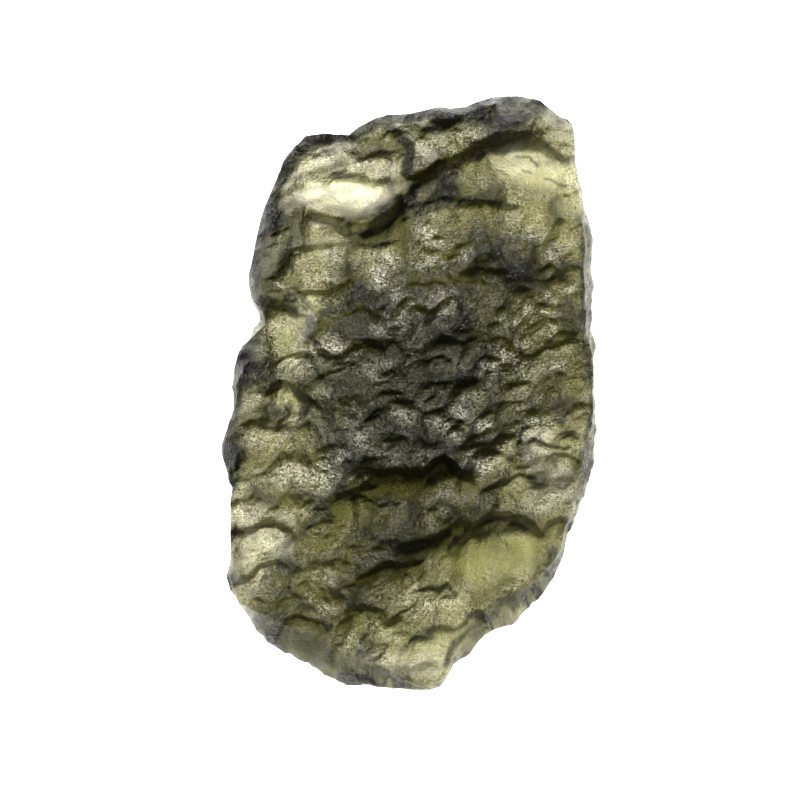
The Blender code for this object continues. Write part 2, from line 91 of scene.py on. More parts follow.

# How strong the skin's marks are, from 0 to 1: whitened skin away from the named patches, bare and in
# blotches of painted sheen, painted shade on walls that face away from the lamp, in seams between cups
# and on the sides, and the darker veins of silky bands
BARE_FROST = 0.14
BLOTCH_SHEEN = 0.6
WALL_SHADE = 0.7
SEAM_SHADE = 0.5
SIDE_SHADE = 0.25
VEIN_FILM = 0.5

# The sides carry the marks of the face's edge, folded down over the rim by this share of the height
SIDE_FOLD = 0.8

# The table's top is just under the stone, and the camera looks down at this part of it, in metres
TABLE_SIDE = 0.6
TABLE_Z = -5e-5
LAMP_PLACE = (-0.08, 0.32, 0.38)
VIEW_WIDTH = 0.04598
VIEW_MIDDLE = (-0.00052, -0.00043)
VIEW_Z = 0.0029

# Round etch cups of the face and the underside, and chips of the edge: how far apart they are, how
# deep, and the seed that places them
FACE_CUPS = ((2.6, 0.5, 11), (1.5, 0.75, 12), (0.8, 0.3, 13), (0.4, 0.12, 14))
BACK_CUPS = ((1.6, 0.3, 41), (0.8, 0.12, 42))
CHIPS = ((1.3, 0.25, 51), (0.6, 0.12, 52), (0.35, 0.06, 53))

# The silhouette from above, anticlockwise from the top right corner: x, y, how wide the steep side
# looks from above there, and how wide a shoulder slopes down to it from the face
RIM = (
    (6.3, 17.0, 0.2, 1.3), (4.8, 16.9, 0.2, 1.2), (3.3, 16.35, 0.2, 0.9), (2.4, 16.2, 0.2, 0.6),
    (1.7, 16.3, 0.2, 0.5), (0.2, 15.95, 0.2, 0.4), (-1.2, 15.95, 0.2, 0.3), (-1.8, 15.7, 0.2, 0.3),
    (-2.8, 15.2, 0.2, 0.2), (-3.4, 14.7, 0.2, 0.2), (-4.8, 14.8, 0.2, 0.2), (-5.9, 14.6, 0.2, 0.3),
    (-6.6, 13.9, 0.2, 0.3), (-7.2, 13.1, 0.2, 0.2), (-7.35, 12.6, 0.2, 0.2), (-8.0, 11.2, 0.2, 0.3),
    (-8.6, 9.4, 0.2, 0.3), (-8.9, 7.9, 0.2, 0.3), (-9.2, 6.5, 0.2, 0.3), (-9.0, 5.2, 0.4, 0.3),
    (-8.65, 4.6, 0.6, 0.2), (-8.65, 4.0, 0.6, 0.2), (-9.2, 3.2, 0.4, 0.3), (-9.75, 2.4, 0.2, 0.5),
    (-10.1, 1.0, 0.2, 0.5), (-10.05, -1.0, 0.2, 0.4), (-10.4, -2.0, 0.2, 0.4), (-10.75, -3.1, 0.2, 0.4),
    (-10.6, -4.0, 0.2, 0.3), (-10.15, -5.5, 0.2, 0.2), (-10.2, -7.5, 0.2, 0.1), (-10.15, -9.4, 0.2, 0.1),
    (-10.35, -10.4, 0.3, 0.2), (-10.2, -11.3, 0.3, 0.4), (-9.8, -12.2, 0.3, 0.4), (-9.1, -13.1, 0.9, 0.1),
    (-8.2, -14.2, 1.6, 0.0), (-6.8, -15.1, 1.9, 0.0), (-5.4, -15.9, 2.1, 0.0), (-3.5, -16.85, 2.0, 0.0),
    (-2.0, -16.7, 1.3, 0.0), (-0.6, -16.9, 0.8, 0.0), (0.9, -17.0, 0.5, 0.0), (1.8, -16.8, 0.5, 0.0),
    (2.2, -16.4, 0.4, 0.0), (2.6, -15.6, 0.7, 0.0), (3.5, -15.0, 1.2, 0.0), (4.1, -14.2, 1.4, 0.0),
    (4.9, -13.65, 1.5, 0.0), (5.9, -13.4, 1.5, 0.0), (6.5, -12.8, 1.4, 0.0), (7.5, -11.7, 1.1, 0.0),
    (8.2, -10.8, 0.9, 0.0), (8.95, -9.2, 0.5, 0.0), (9.2, -8.0, 0.5, 0.0), (9.8, -6.8, 0.6, 0.0),
    (10.3, -5.3, 0.8, 0.0), (10.7, -3.9, 0.9, 0.0), (10.65, -3.2, 0.8, 0.0), (10.75, -1.9, 0.4, 0.0),
    (10.65, 0.0, 0.25, 0.0), (10.7, 1.9, 0.3, 0.0), (10.6, 3.6, 0.6, 0.0), (10.65, 5.5, 0.8, 0.0),
    (10.5, 7.2, 0.8, 0.0), (10.6, 8.6, 0.85, 0.0), (10.4, 9.4, 0.75, 0.0), (10.1, 10.6, 0.6, 0.1),
    (9.9, 12.0, 0.45, 0.2), (9.6, 13.2, 0.3, 0.2), (9.55, 14.5, 0.3, 0.3), (9.35, 15.4, 0.3, 0.4),
    (8.3, 16.1, 0.3, 0.9), (7.6, 16.7, 0.2, 1.2),
)

# Sharp rims on the face, each falling away towards -Y: drop, width of the steep wall, how far the
# floor below takes to climb back, and the rim's line from left to right
LEDGES = (
    # the wall under the pale window at the top left, and a thin step below it
    (1.7, 0.75, 3.2, ((-6.2, 9.9), (-5.4, 10.3), (-4.3, 10.1), (-3.4, 9.6), (-2.6, 9.4), (-1.8, 9.8),
     (-1.1, 10.4), (-0.5, 11.2), (0.3, 12.0))),
    (0.3, 0.3, 1.4, ((-7.2, 8.0), (-5.6, 8.1), (-4.4, 8.3), (-3.2, 8.6), (-2.2, 9.1))),
    # the ridge along the top, whose wall stands over the pale hollow at the top right
    (0.9, 0.5, 3.0, ((-0.6, 12.2), (0.6, 12.6), (1.6, 13.1), (2.8, 13.6), (3.9, 13.9), (5.0, 14.4),
     (6.2, 14.8), (7.4, 14.9))),
    (0.35, 0.35, 1.6, ((-0.6, 10.3), (0.8, 10.9), (2.2, 11.0), (3.2, 11.0), (4.4, 10.8), (5.5, 10.5),
     (6.8, 10.6))),
    (0.6, 0.5, 2.2, ((6.9, 15.0), (7.5, 14.2), (8.1, 13.75), (8.8, 13.3), (9.5, 13.1))),
    # steps and flow lines across the upper middle
    (0.6, 0.4, 1.6, ((-8.6, 5.4), (-7.6, 5.2), (-6.8, 5.0), (-6.0, 4.7), (-5.2, 4.2))),
    (0.5, 0.35, 1.4, ((-6.7, 6.1), (-5.9, 5.8), (-5.2, 5.7), (-4.4, 5.9), (-3.6, 6.3), (-2.6, 6.9))),
    (0.25, 0.3, 1.3, ((-0.6, 6.1), (0.4, 6.3), (1.4, 6.4), (2.2, 6.2), (3.2, 5.8))),
    (0.25, 0.3, 1.3, ((2.2, 6.4), (3.0, 6.8), (4.0, 7.0), (5.0, 6.8), (6.0, 6.4))),
    (0.45, 0.35, 1.2, ((6.6, 6.9), (7.6, 7.2), (8.6, 6.6), (9.6, 6.2))),
    (0.25, 0.3, 1.4, ((-4.9, 4.2), (-3.8, 4.5), (-2.6, 4.7), (-1.6, 4.4), (-0.8, 3.9))),
    (0.25, 0.3, 1.3, ((2.4, 2.7), (3.4, 3.1), (4.2, 3.2), (5.0, 3.2), (5.9, 2.8))),
    (0.45, 0.35, 1.4, ((6.4, 2.1), (7.4, 2.6), (8.4, 2.9), (9.6, 3.1), (10.4, 3.0))),
    # short flow lines in the dark middle
    (0.25, 0.3, 1.2, ((-6.0, 0.6), (-4.9, 1.0), (-4.0, 1.4), (-3.2, 1.7), (-2.4, 1.5))),
    (0.25, 0.3, 1.2, ((0.4, 1.5), (1.2, 1.9), (2.0, 2.0), (3.0, 1.6))),
    (0.4, 0.35, 1.2, ((1.7, 0.1), (2.3, 0.6), (3.0, 0.75), (4.0, 0.95), (4.6, 0.6))),
    (0.4, 0.35, 1.2, ((4.6, -0.1), (5.2, 0.35), (6.0, 0.5), (6.8, 0.65), (7.8, 0.1))),
    (0.7, 0.45, 1.7, ((-8.6, -0.4), (-8.0, 0.1), (-7.6, 0.6), (-7.1, 0.8), (-6.6, 0.6), (-6.1, 0.2),
     (-5.7, -0.1), (-4.8, -0.7))),
    (0.4, 0.35, 1.4, ((-9.8, -1.2), (-8.7, -1.6), (-7.2, -1.9), (-5.8, -1.7), (-4.9, -1.2))),
    (0.35, 0.35, 1.3, ((-2.4, -0.6), (-1.5, -0.1), (-0.6, 0.1), (0.5, -0.5))),
    (0.3, 0.35, 1.4, ((-2.0, -2.9), (-1.2, -2.4), (-0.3, -2.3), (0.7, -2.9))),
    # the black undercut below the middle
    (1.6, 0.55, 2.6, ((-4.3, -5.8), (-3.2, -5.2), (-2.3, -4.9), (-1.5, -4.4), (-0.8, -4.2), (0.1, -4.4),
     (0.8, -4.2), (1.3, -3.8), (1.9, -3.6), (2.6, -3.8), (3.2, -4.4), (4.0, -5.2))),
    (0.35, 0.3, 1.4, ((6.0, -3.0), (7.2, -2.5), (8.0, -2.9), (8.8, -3.1), (9.9, -2.9))),
    (0.45, 0.35, 1.8, ((7.1, -4.6), (7.7, -3.8), (8.4, -3.5), (9.0, -3.45), (9.9, -3.9))),
    (0.5, 0.35, 1.7, ((3.9, -5.5), (4.9, -4.9), (5.5, -4.75), (6.2, -4.5), (7.1, -4.9))),
    # the two rims over the wide scoop at the lower right, and the small one beside them
    (1.4, 0.55, 3.0, ((-1.0, -8.5), (0.3, -8.0), (1.1, -7.9), (1.7, -7.7), (2.3, -7.4), (3.0, -7.2),
     (3.9, -7.3))),
    (1.5, 0.6, 4.4, ((2.2, -9.0), (3.2, -7.8), (3.9, -7.15), (4.8, -6.8), (5.6, -6.7), (6.5, -6.85),
     (7.1, -7.2), (7.8, -8.0))),
    (0.7, 0.45, 2.0, ((7.2, -8.2), (7.9, -7.2), (8.6, -6.85), (9.8, -6.8))),
    (1.1, 0.5, 2.2, ((-3.6, -10.6), (-2.4, -9.8), (-1.7, -9.4), (-0.9, -9.35), (-0.1, -9.6), (0.6, -9.4),
     (1.6, -8.8))),
    # small round scoops along the bottom
    (0.6, 0.45, 2.0, ((-4.2, -12.8), (-3.3, -12.1), (-2.4, -11.95), (-1.6, -12.05), (-0.8, -12.8))),
    (0.5, 0.4, 1.5, ((-1.2, -12.9), (-0.7, -12.4), (-0.2, -12.45), (0.4, -13.1))),
    (0.5, 0.4, 1.6, ((-0.5, -11.7), (0.2, -11.1), (1.0, -10.9), (1.6, -11.1), (2.2, -10.7), (3.0, -11.5))),
    # the bright shelves at the lower left
    (0.9, 0.45, 1.9, ((-10.3, -7.6), (-9.0, -7.45), (-8.2, -7.3), (-7.4, -7.2), (-6.8, -7.4),
     (-6.0, -8.3))),
    (0.7, 0.4, 1.7, ((-10.3, -10.4), (-9.1, -10.2), (-8.6, -9.7), (-8.0, -9.45), (-7.3, -9.4),
     (-6.2, -10.1))),
    (0.7, 0.4, 1.9, ((-8.0, -12.9), (-6.3, -12.5), (-5.0, -12.6), (-3.9, -13.5))),
)

# Broad forms of the face, down where depth is above 0 and up where it is below: x, y, half width,
# half height, turn in degrees, depth
SCOOPS = (
    (-3.2, 11.0, 3.2, 1.5, -4.0, 0.6),
    (-4.8, 13.2, 2.6, 1.3, 28.0, 0.4),
    (6.6, 12.7, 3.2, 1.9, -12.0, 0.7),
    (4.6, -9.6, 5.0, 2.3, 24.0, 0.7),
    (8.6, -4.8, 1.4, 1.5, 0.0, 0.3),
    (2.4, -5.4, 1.6, 1.4, 10.0, 0.3),
    (-6.5, -4.4, 1.5, 1.4, -30.0, 0.35),
    (-7.0, -0.5, 1.8, 1.1, -8.0, 0.3),
    (-2.2, -13.2, 1.7, 1.4, 0.0, 0.3),
    (5.2, 15.6, 4.6, 2.4, 4.0, -0.9),
    (1.2, 15.4, 2.0, 1.2, 0.0, -0.5),
    (-9.4, 1.8, 2.4, 3.0, 0.0, -0.6),
    (-8.6, 8.6, 2.4, 4.6, 8.0, -0.7),
    (-6.6, 14.2, 2.6, 1.8, 30.0, -0.5),
    (-7.0, -14.0, 3.4, 1.6, -35.0, -0.5),
    (-1.6, -3.0, 4.6, 1.6, 10.0, -0.4),
    (5.6, 7.2, 3.6, 1.8, 0.0, -0.4),
)

# Smooth patches with few pits: x, y, half width, half height, turn in degrees, how calm from 0 to 1
CALM = (
    (-3.3, 11.0, 4.0, 1.7, -6.0, 0.85),
    (4.6, -9.3, 5.4, 2.3, 24.0, 0.8),
    (6.6, 12.9, 3.2, 1.9, -12.0, 0.6),
    (-6.0, -15.0, 5.0, 2.0, -35.0, 0.6),
    (1.5, -14.5, 3.6, 1.4, 20.0, 0.5),
    (-3.6, 0.5, 1.6, 0.8, 0.0, 0.8),
    (-3.0, 4.0, 2.4, 0.8, 4.0, 0.6),
    (4.2, 6.5, 1.6, 0.6, 4.0, 0.7),
    (1.2, 6.2, 1.8, 0.6, 0.0, 0.7),
)

# How thick the glass is under points of the face, in millimetres: x, y and thickness. The underside
# is hollowed to it, so the thin places glow
THICKNESS = (
    # the cream tongue at the top left, and the dark wall that ends it
    (-5.6, 10.9, 1.2), (-4.4, 11.2, 0.9), (-3.2, 11.0, 0.8), (-2.0, 10.9, 0.8), (-1.0, 11.3, 1.0),
    (-2.6, 10.2, 1.2), (-0.1, 11.0, 4.4), (-1.6, 9.2, 4.8), (-0.4, 10.0, 5.0), (-3.6, 8.8, 3.2),
    (-6.6, 10.4, 2.0), (-8.0, 10.4, 3.4), (-8.2, 8.4, 3.6),
    # the pale mottled shelf above it
    (-6.2, 12.8, 1.3), (-5.0, 13.2, 1.1), (-4.0, 12.8, 1.2), (-2.6, 13.2, 1.5), (-1.4, 13.0, 1.8),
    (-2.2, 14.4, 3.0), (-0.6, 14.8, 3.6), (0.6, 13.6, 4.6), (0.6, 15.2, 3.0), (-6.6, 13.8, 2.8),
    (-5.0, 14.5, 2.8), (-7.2, 11.8, 2.8),
    # the mint hollow at the top right, and the dark corner over it
    (5.0, 12.8, 1.8), (6.2, 13.4, 1.4), (7.4, 13.2, 1.3), (6.4, 12.2, 1.6), (8.8, 12.6, 1.6),
    (4.6, 13.6, 2.2), (8.8, 14.4, 1.5), (3.6, 12.8, 3.2), (2.0, 12.0, 4.8), (3.0, 15.2, 4.4),
    (5.0, 15.4, 4.2), (6.4, 16.2, 3.6), (7.8, 15.6, 2.8), (7.4, 14.4, 2.2), (3.0, 14.0, 3.4),
    # olive bands below them
    (-6.4, 8.4, 1.9), (-4.6, 8.1, 2.4), (-6.4, 7.0, 2.1), (-4.4, 7.0, 2.5), (-2.6, 7.6, 3.8),
    (3.6, 9.9, 2.8), (6.0, 9.8, 2.4), (8.6, 9.6, 1.8), (9.2, 7.6, 2.2), (0.8, 9.6, 3.4),
    (5.0, 8.2, 4.4), (0.0, 7.6, 4.4), (1.4, 6.2, 3.8), (5.0, 6.8, 5.4), (8.0, 6.0, 4.2), (3.2, 11.2, 3.2),
    # the pale column down the left side
    (-8.4, 6.0, 4.0), (-5.7, 5.0, 2.1), (-5.6, 3.4, 1.9), (-7.0, 3.2, 2.0), (-6.7, 1.6, 1.7),
    (-9.2, 2.6, 4.5), (-9.4, 1.0, 4.0), (-3.6, 4.4, 3.6), (-7.2, -0.9, 1.6), (-8.8, -1.0, 3.0),
    (-8.6, -2.6, 2.2), (-5.4, -0.8, 3.0), (-6.8, -4.3, 1.9), (-9.6, -3.8, 3.4), (-5.4, -2.6, 3.4),
    # the dark middle
    (-3.6, 0.6, 4.6), (-1.0, 2.8, 7.0), (-2.4, 5.8, 4.0), (2.0, 3.4, 6.4), (5.4, 3.4, 5.4), (0.4, 0.4, 7.5),
    (4.0, 2.0, 7.0), (7.6, 2.2, 4.2), (9.2, 0.6, 3.0), (6.4, -0.4, 5.0), (-3.6, -2.2, 5.0),
    (0.2, -2.4, 6.6), (4.2, -1.6, 5.4), (-1.8, -4.6, 7.6), (1.0, -4.2, 7.6), (-4.4, -4.4, 3.6),
    (1.6, -6.0, 4.8), (3.0, -5.2, 4.2), (-1.6, -6.4, 5.4),
    # the pale lower left corner
    (-9.2, -7.8, 1.3), (-8.8, -8.8, 1.3), (-7.4, -8.8, 1.4), (-9.0, -10.6, 1.2), (-6.0, -8.4, 3.0),
    (-7.2, -6.2, 3.0), (-9.6, -6.0, 1.8), (-7.0, -11.0, 3.0), (-6.0, -13.2, 4.0), (-9.4, -11.8, 3.0),
    (-4.4, -10.4, 3.6), (-3.4, -8.0, 3.8), (-1.8, -9.8, 5.4), (-4.2, -13.6, 4.5),
    # the pale right side
    (7.2, -3.4, 1.4), (8.8, -2.6, 1.6), (9.4, -4.6, 1.7), (7.6, -5.4, 1.5), (6.0, -4.4, 2.2),
    (5.8, -6.0, 2.0), (8.4, -7.2, 2.2), (7.8, -9.2, 2.4), (6.0, -8.6, 3.0), (4.2, -10.0, 3.4),
    (5.4, -12.0, 2.6), (2.4, -9.0, 4.6), (0.8, -8.6, 5.4), (3.4, -7.9, 5.5),
    # the pale lower tip
    (-2.4, -13.8, 2.4), (-0.4, -14.4, 1.8), (0.6, -15.4, 1.1), (-1.6, -15.4, 1.2), (-3.4, -14.6, 2.0),
    (1.8, -13.2, 2.0), (3.4, -12.6, 2.2), (-0.4, -12.4, 3.0), (-3.0, -11.8, 3.2), (1.8, -15.6, 1.3),
    (-4.2, -15.6, 3.6),
)


def smooth(t):
    """0 below 0, 1 above 1, and an S-shaped curve between them."""
    t = np.clip(t, 0.0, 1.0)
    return t * t * (3.0 - 2.0 * t)


def lattice_value(column, row, seed):
    """A repeatable number from 0 to 1 for each cell of a square lattice, mixed from its integers."""
    mixed = (column * 374761393 + row * 668265263 + seed * 974634777) & 0xFFFFFFFF
    mixed = ((mixed ^ (mixed >> 13)) * 1274126177) & 0xFFFFFFFF
    return ((mixed ^ (mixed >> 16)) & 0xFFFF) / 65535.0


def noise(x, y, seed):
    """Smooth noise from -1 to 1 with features one unit wide, blended between lattice corners."""
    column, row = np.floor(x).astype(np.int64), np.floor(y).astype(np.int64)
    across, up = smooth(x - column), smooth(y - row)
    low_left, low_right = lattice_value(column, row, seed), lattice_value(column + 1, row, seed)
    top_left, top_right = lattice_value(column, row + 1, seed), lattice_value(column + 1, row + 1, seed)
    low = low_left + (low_right - low_left) * across
    top = top_left + (top_right - top_left) * across
    return 2.0 * (low + (top - low) * up) - 1.0


def cups(x, y, pitch, seed):
    """Depth from 0 to 1 of round etch cups that bite into each other and leave sharp crests. Each
    cell of a lattice has one cup with its own middle, width and depth, a paraboloid that is steeper
    on its +Y side, and at each point the deepest cup counts."""
    across, up = x / (CUP_STRETCH * pitch), y / pitch
    column, row = np.floor(across).astype(np.int64), np.floor(up).astype(np.int64)
    deepest = np.zeros(np.shape(x))
    for step_x in (-1, 0, 1):
        for step_y in (-1, 0, 1):
            cell_x, cell_y = column + step_x, row + step_y
            middle_x = cell_x + lattice_value(cell_x, cell_y, seed)
            middle_y = cell_y + lattice_value(cell_x, cell_y, seed + 100)
            width = 0.5 + 0.4 * lattice_value(cell_x, cell_y, seed + 200)
            depth = 0.3 + 0.7 * lattice_value(cell_x, cell_y, seed + 300)
            rise = (up - middle_y) / width
            rise = np.where(rise > 0, 1.35 * rise, 0.8 * rise)
            side = (across - middle_x) / width
            deepest = np.maximum(deepest, depth * (1.0 - side**2 - rise**2))
    return deepest


def ledge(x, y, drop, wall, reach, line):
    """Height near a sharp rim: a slight lip along its line, a wall that falls by drop on the -Y
    side, and a floor that climbs back over reach. It tapers off towards both ends of the line."""
    line_x, line_y = np.array(line).T
    slope = np.interp(x, line_x, np.gradient(line_y, line_x))
    depth = (np.interp(x, line_x, line_y) - y) / np.sqrt(1.0 + slope**2)
    taper = smooth((x - line_x[0]) / LEDGE_TAPER) * smooth((line_x[-1] - x) / LEDGE_TAPER)
    floor = smooth(depth / wall) * (1.0 - smooth((depth - wall) / reach))
    lip = np.where(depth < 0, np.exp(-((depth / 0.7) ** 2)), 1.0 - smooth(depth / (0.4 * wall)))
    return taper * drop * (0.2 * lip - floor)


def oval(x, y, middle_x, middle_y, half_width, half_height, turn):
    """1 inside the middle half of a turned oval, falling smoothly to 0 at its edge."""
    cosine, sine = math.cos(math.radians(turn)), math.sin(math.radians(turn))
    along = ((x - middle_x) * cosine + (y - middle_y) * sine) / half_width
    across = ((y - middle_y) * cosine - (x - middle_x) * sine) / half_height
    return smooth((1.0 - np.hypot(along, across)) / 0.6)


def rim_at(angle):
    """At an angle round the stone's middle: the silhouette's radius, and the widths of the side and
    of the shoulder."""
    corners = np.array(RIM)
    corner_angle = np.arctan2(corners[:, 1], corners[:, 0])
    corner_radius = np.hypot(corners[:, 0], corners[:, 1])
    return [np.interp(angle, corner_angle, values, period=2 * math.pi)
            for values in (corner_radius, corners[:, 2], corners[:, 3])]


def share_to_rim(x, y):
    """0 at the stone's middle and 1 at its silhouette."""
    return np.hypot(x, y) / rim_at(np.arctan2(y, x))[0]


def broad_height(x, y):
    """The face without its ledges and cups: a low dome with broad scoops and swellings, and with
    shoulders that slope down to the rim."""
    distance = np.hypot(x, y)
    outer, side_width, shoulder_width = rim_at(np.arctan2(y, x))
    dome = RIM_TOP_Z + (CROWN_Z - RIM_TOP_Z) * (1.0 - (distance / outer) ** 2.6)
    past_shoulder = distance - (outer - side_width - shoulder_width)
    bend = (past_shoulder + np.hypot(past_shoulder, SHOULDER_BEND)) / 2.0
    shoulder = SHOULDER_SLOPE * bend * smooth(shoulder_width / 0.4)
    return dome - shoulder - sum(depth * oval(x, y, *place) for *place, depth in SCOOPS)


def etch_place(x, y):
    """Where a point of the face lies in the cups' lattice, which is bent by noise and climbs a
    little to the right."""
    return x + 0.35 * noise(x / 1.3, y / 1.3, 3), y + 0.35 * noise(x / 1.3, y / 1.3, 4) - 0.15 * x


def face_height(x, y):
    """Height of the upper face: its broad form with ledges, flow ripples and etch cups. The
    ledges' lines and the cups are bent a little by noise, so that none is too regular."""
    height = broad_height(x, y)
    edge_x = x + 0.22 * noise(x / 0.9, y / 0.9, 1)
    edge_y = y + 0.22 * noise(x / 0.9, y / 0.9, 2)
    height = height + sum(ledge(edge_x, edge_y, *values) for values in LEDGES)
    calm = sum(share * oval(x, y, *place) for *place, share in CALM)
    rough = 1.0 - np.clip(calm, 0.0, 0.9)
    bent_x, bent_y = etch_place(x, y)
    for pitch, depth, seed in FACE_CUPS:
        height = height - depth * rough * (cups(bent_x, bent_y, pitch, seed) - 0.5)
    return height + 0.2 * noise(x / 5.0, bent_y / 1.6, 21)


def glass_thickness(x, y):
    """Thickness of the glass: the values of the table's points, each weighted by how near it is, at
    a place bent by noise so that the glow ends in ragged edges."""
    x = x + 0.4 * noise(x / 2.0, y / 1.4, 71)
    y = y + 0.3 * noise(x / 2.0, y / 1.4, 72)
    total, weights = 0.0, 0.0
    for point_x, point_y, thickness in THICKNESS:
        weight = ((x - point_x) ** 2 + (y - point_y) ** 2 + 0.5) ** -2.0
        total, weights = total + weight * thickness, weights + weight
    return total / weights


def back_height(x, y):
    """Height of the underside: a shallow bowl that rises to the rim, hollowed further up where the
    glass is thin but never steeply from the flat spot under the stone's middle, with cups of its
    own."""
    off_flat = np.hypot(x / FLAT_HALF_WIDTH, y / FLAT_HALF_LENGTH) - 1.0
    climb = np.maximum(off_flat, 0.0) * FLAT_CLIMB
    bowl = RIM_UNDER_Z * smooth((share_to_rim(x, y) - 0.2) / 0.8)
    height = np.minimum(np.maximum(bowl, broad_height(x, y) - glass_thickness(x, y)), climb)
    bent_x = x + 0.4 * noise(x / 1.3, y / 1.3, 31)
    bent_y = y + 0.4 * noise(x / 1.3, y / 1.3, 32)
    for pitch, depth, seed in BACK_CUPS:
        height = height + depth * cups(bent_x, bent_y, pitch, seed)
    height = np.minimum(height * smooth(off_flat / 0.5), face_height(x, y) - THINNEST)
    return np.maximum(height, 0.0)


def stone_point(u, v, w):
    """The stone's skin for points on the skin of a cube that reaches from -1 to 1. The cube's top
    becomes the face, its bottom the underside, and its walls the steep sides, which are widest
    halfway down and tucked in below."""
    shell = np.maximum(np.abs(u), np.abs(v))
    angle = np.arctan2(v * HALF_LENGTH, u * HALF_WIDTH)
    outer, side_width, _ = rim_at(angle)
    down = (1.0 - w) / 2.0
    flare = np.clip(1.0 - 2.0 * down, 0.0, 1.0) ** 1.2 * side_width
    tuck = np.clip(2.0 * down - 1.0, 0.0, 1.0) ** 1.7 * UNDERCUT
    round_the_edge = angle * (HALF_WIDTH + HALF_LENGTH) / 2.0
    chips = sum(depth * cups(round_the_edge, 4.0 * down, pitch, seed) for pitch, depth, seed in CHIPS)
    chips = np.where(shell >= 1.0, chips * np.sin(math.pi * down), 0.0)

    radius = (outer - flare - tuck) * shell - chips
    face_radius = (outer - side_width) * shell
    back_radius = (outer - UNDERCUT) * shell
    face = face_height(face_radius * np.cos(angle), face_radius * np.sin(angle))
    back = back_height(back_radius * np.cos(angle), back_radius * np.sin(angle))
    height = face * (1.0 - down) + back * down
    return np.stack([radius * np.cos(angle), radius * np.sin(angle), height], axis=-1)


# Patches of shade painted dark onto the skin: x, y, half width, half height, turn in degrees, and how dark
SHADE_PATCHES = (
    (5.6, 16.5, 4.4, 2.2, 4.0, 0.85), (2.0, 15.5, 2.6, 1.5, 20.0, 0.3), (0.2, 13.6, 1.6, 1.8, -40.0, 0.15),
    (9.4, 15.8, 1.8, 2.2, 0.0, 0.5), (-9.0, 8.8, 2.1, 5.2, -8.0, 0.9), (-7.3, 14.3, 3.2, 1.1, 42.0, 0.8),
    (-9.9, 2.2, 2.1, 3.6, 0.0, 0.85), (-10.5, -3.2, 1.6, 2.8, 0.0, 0.75), (-1.0, 10.0, 1.9, 1.0, 50.0, 0.7),
    (1.4, 11.5, 2.4, 1.2, 0.0, 0.35), (5.8, 7.0, 3.2, 1.6, 0.0, 0.5), (1.4, 1.6, 5.0, 3.6, 0.0, 0.25),
    (-0.6, -9.2, 3.2, 1.1, 20.0, 0.5), (-6.6, -13.2, 3.8, 1.1, -25.0, 0.35),
    (-4.6, -13.3, 0.6, 0.5, 0.0, 0.9), (-3.2, -16.2, 2.4, 0.9, 0.0, 0.6),
)
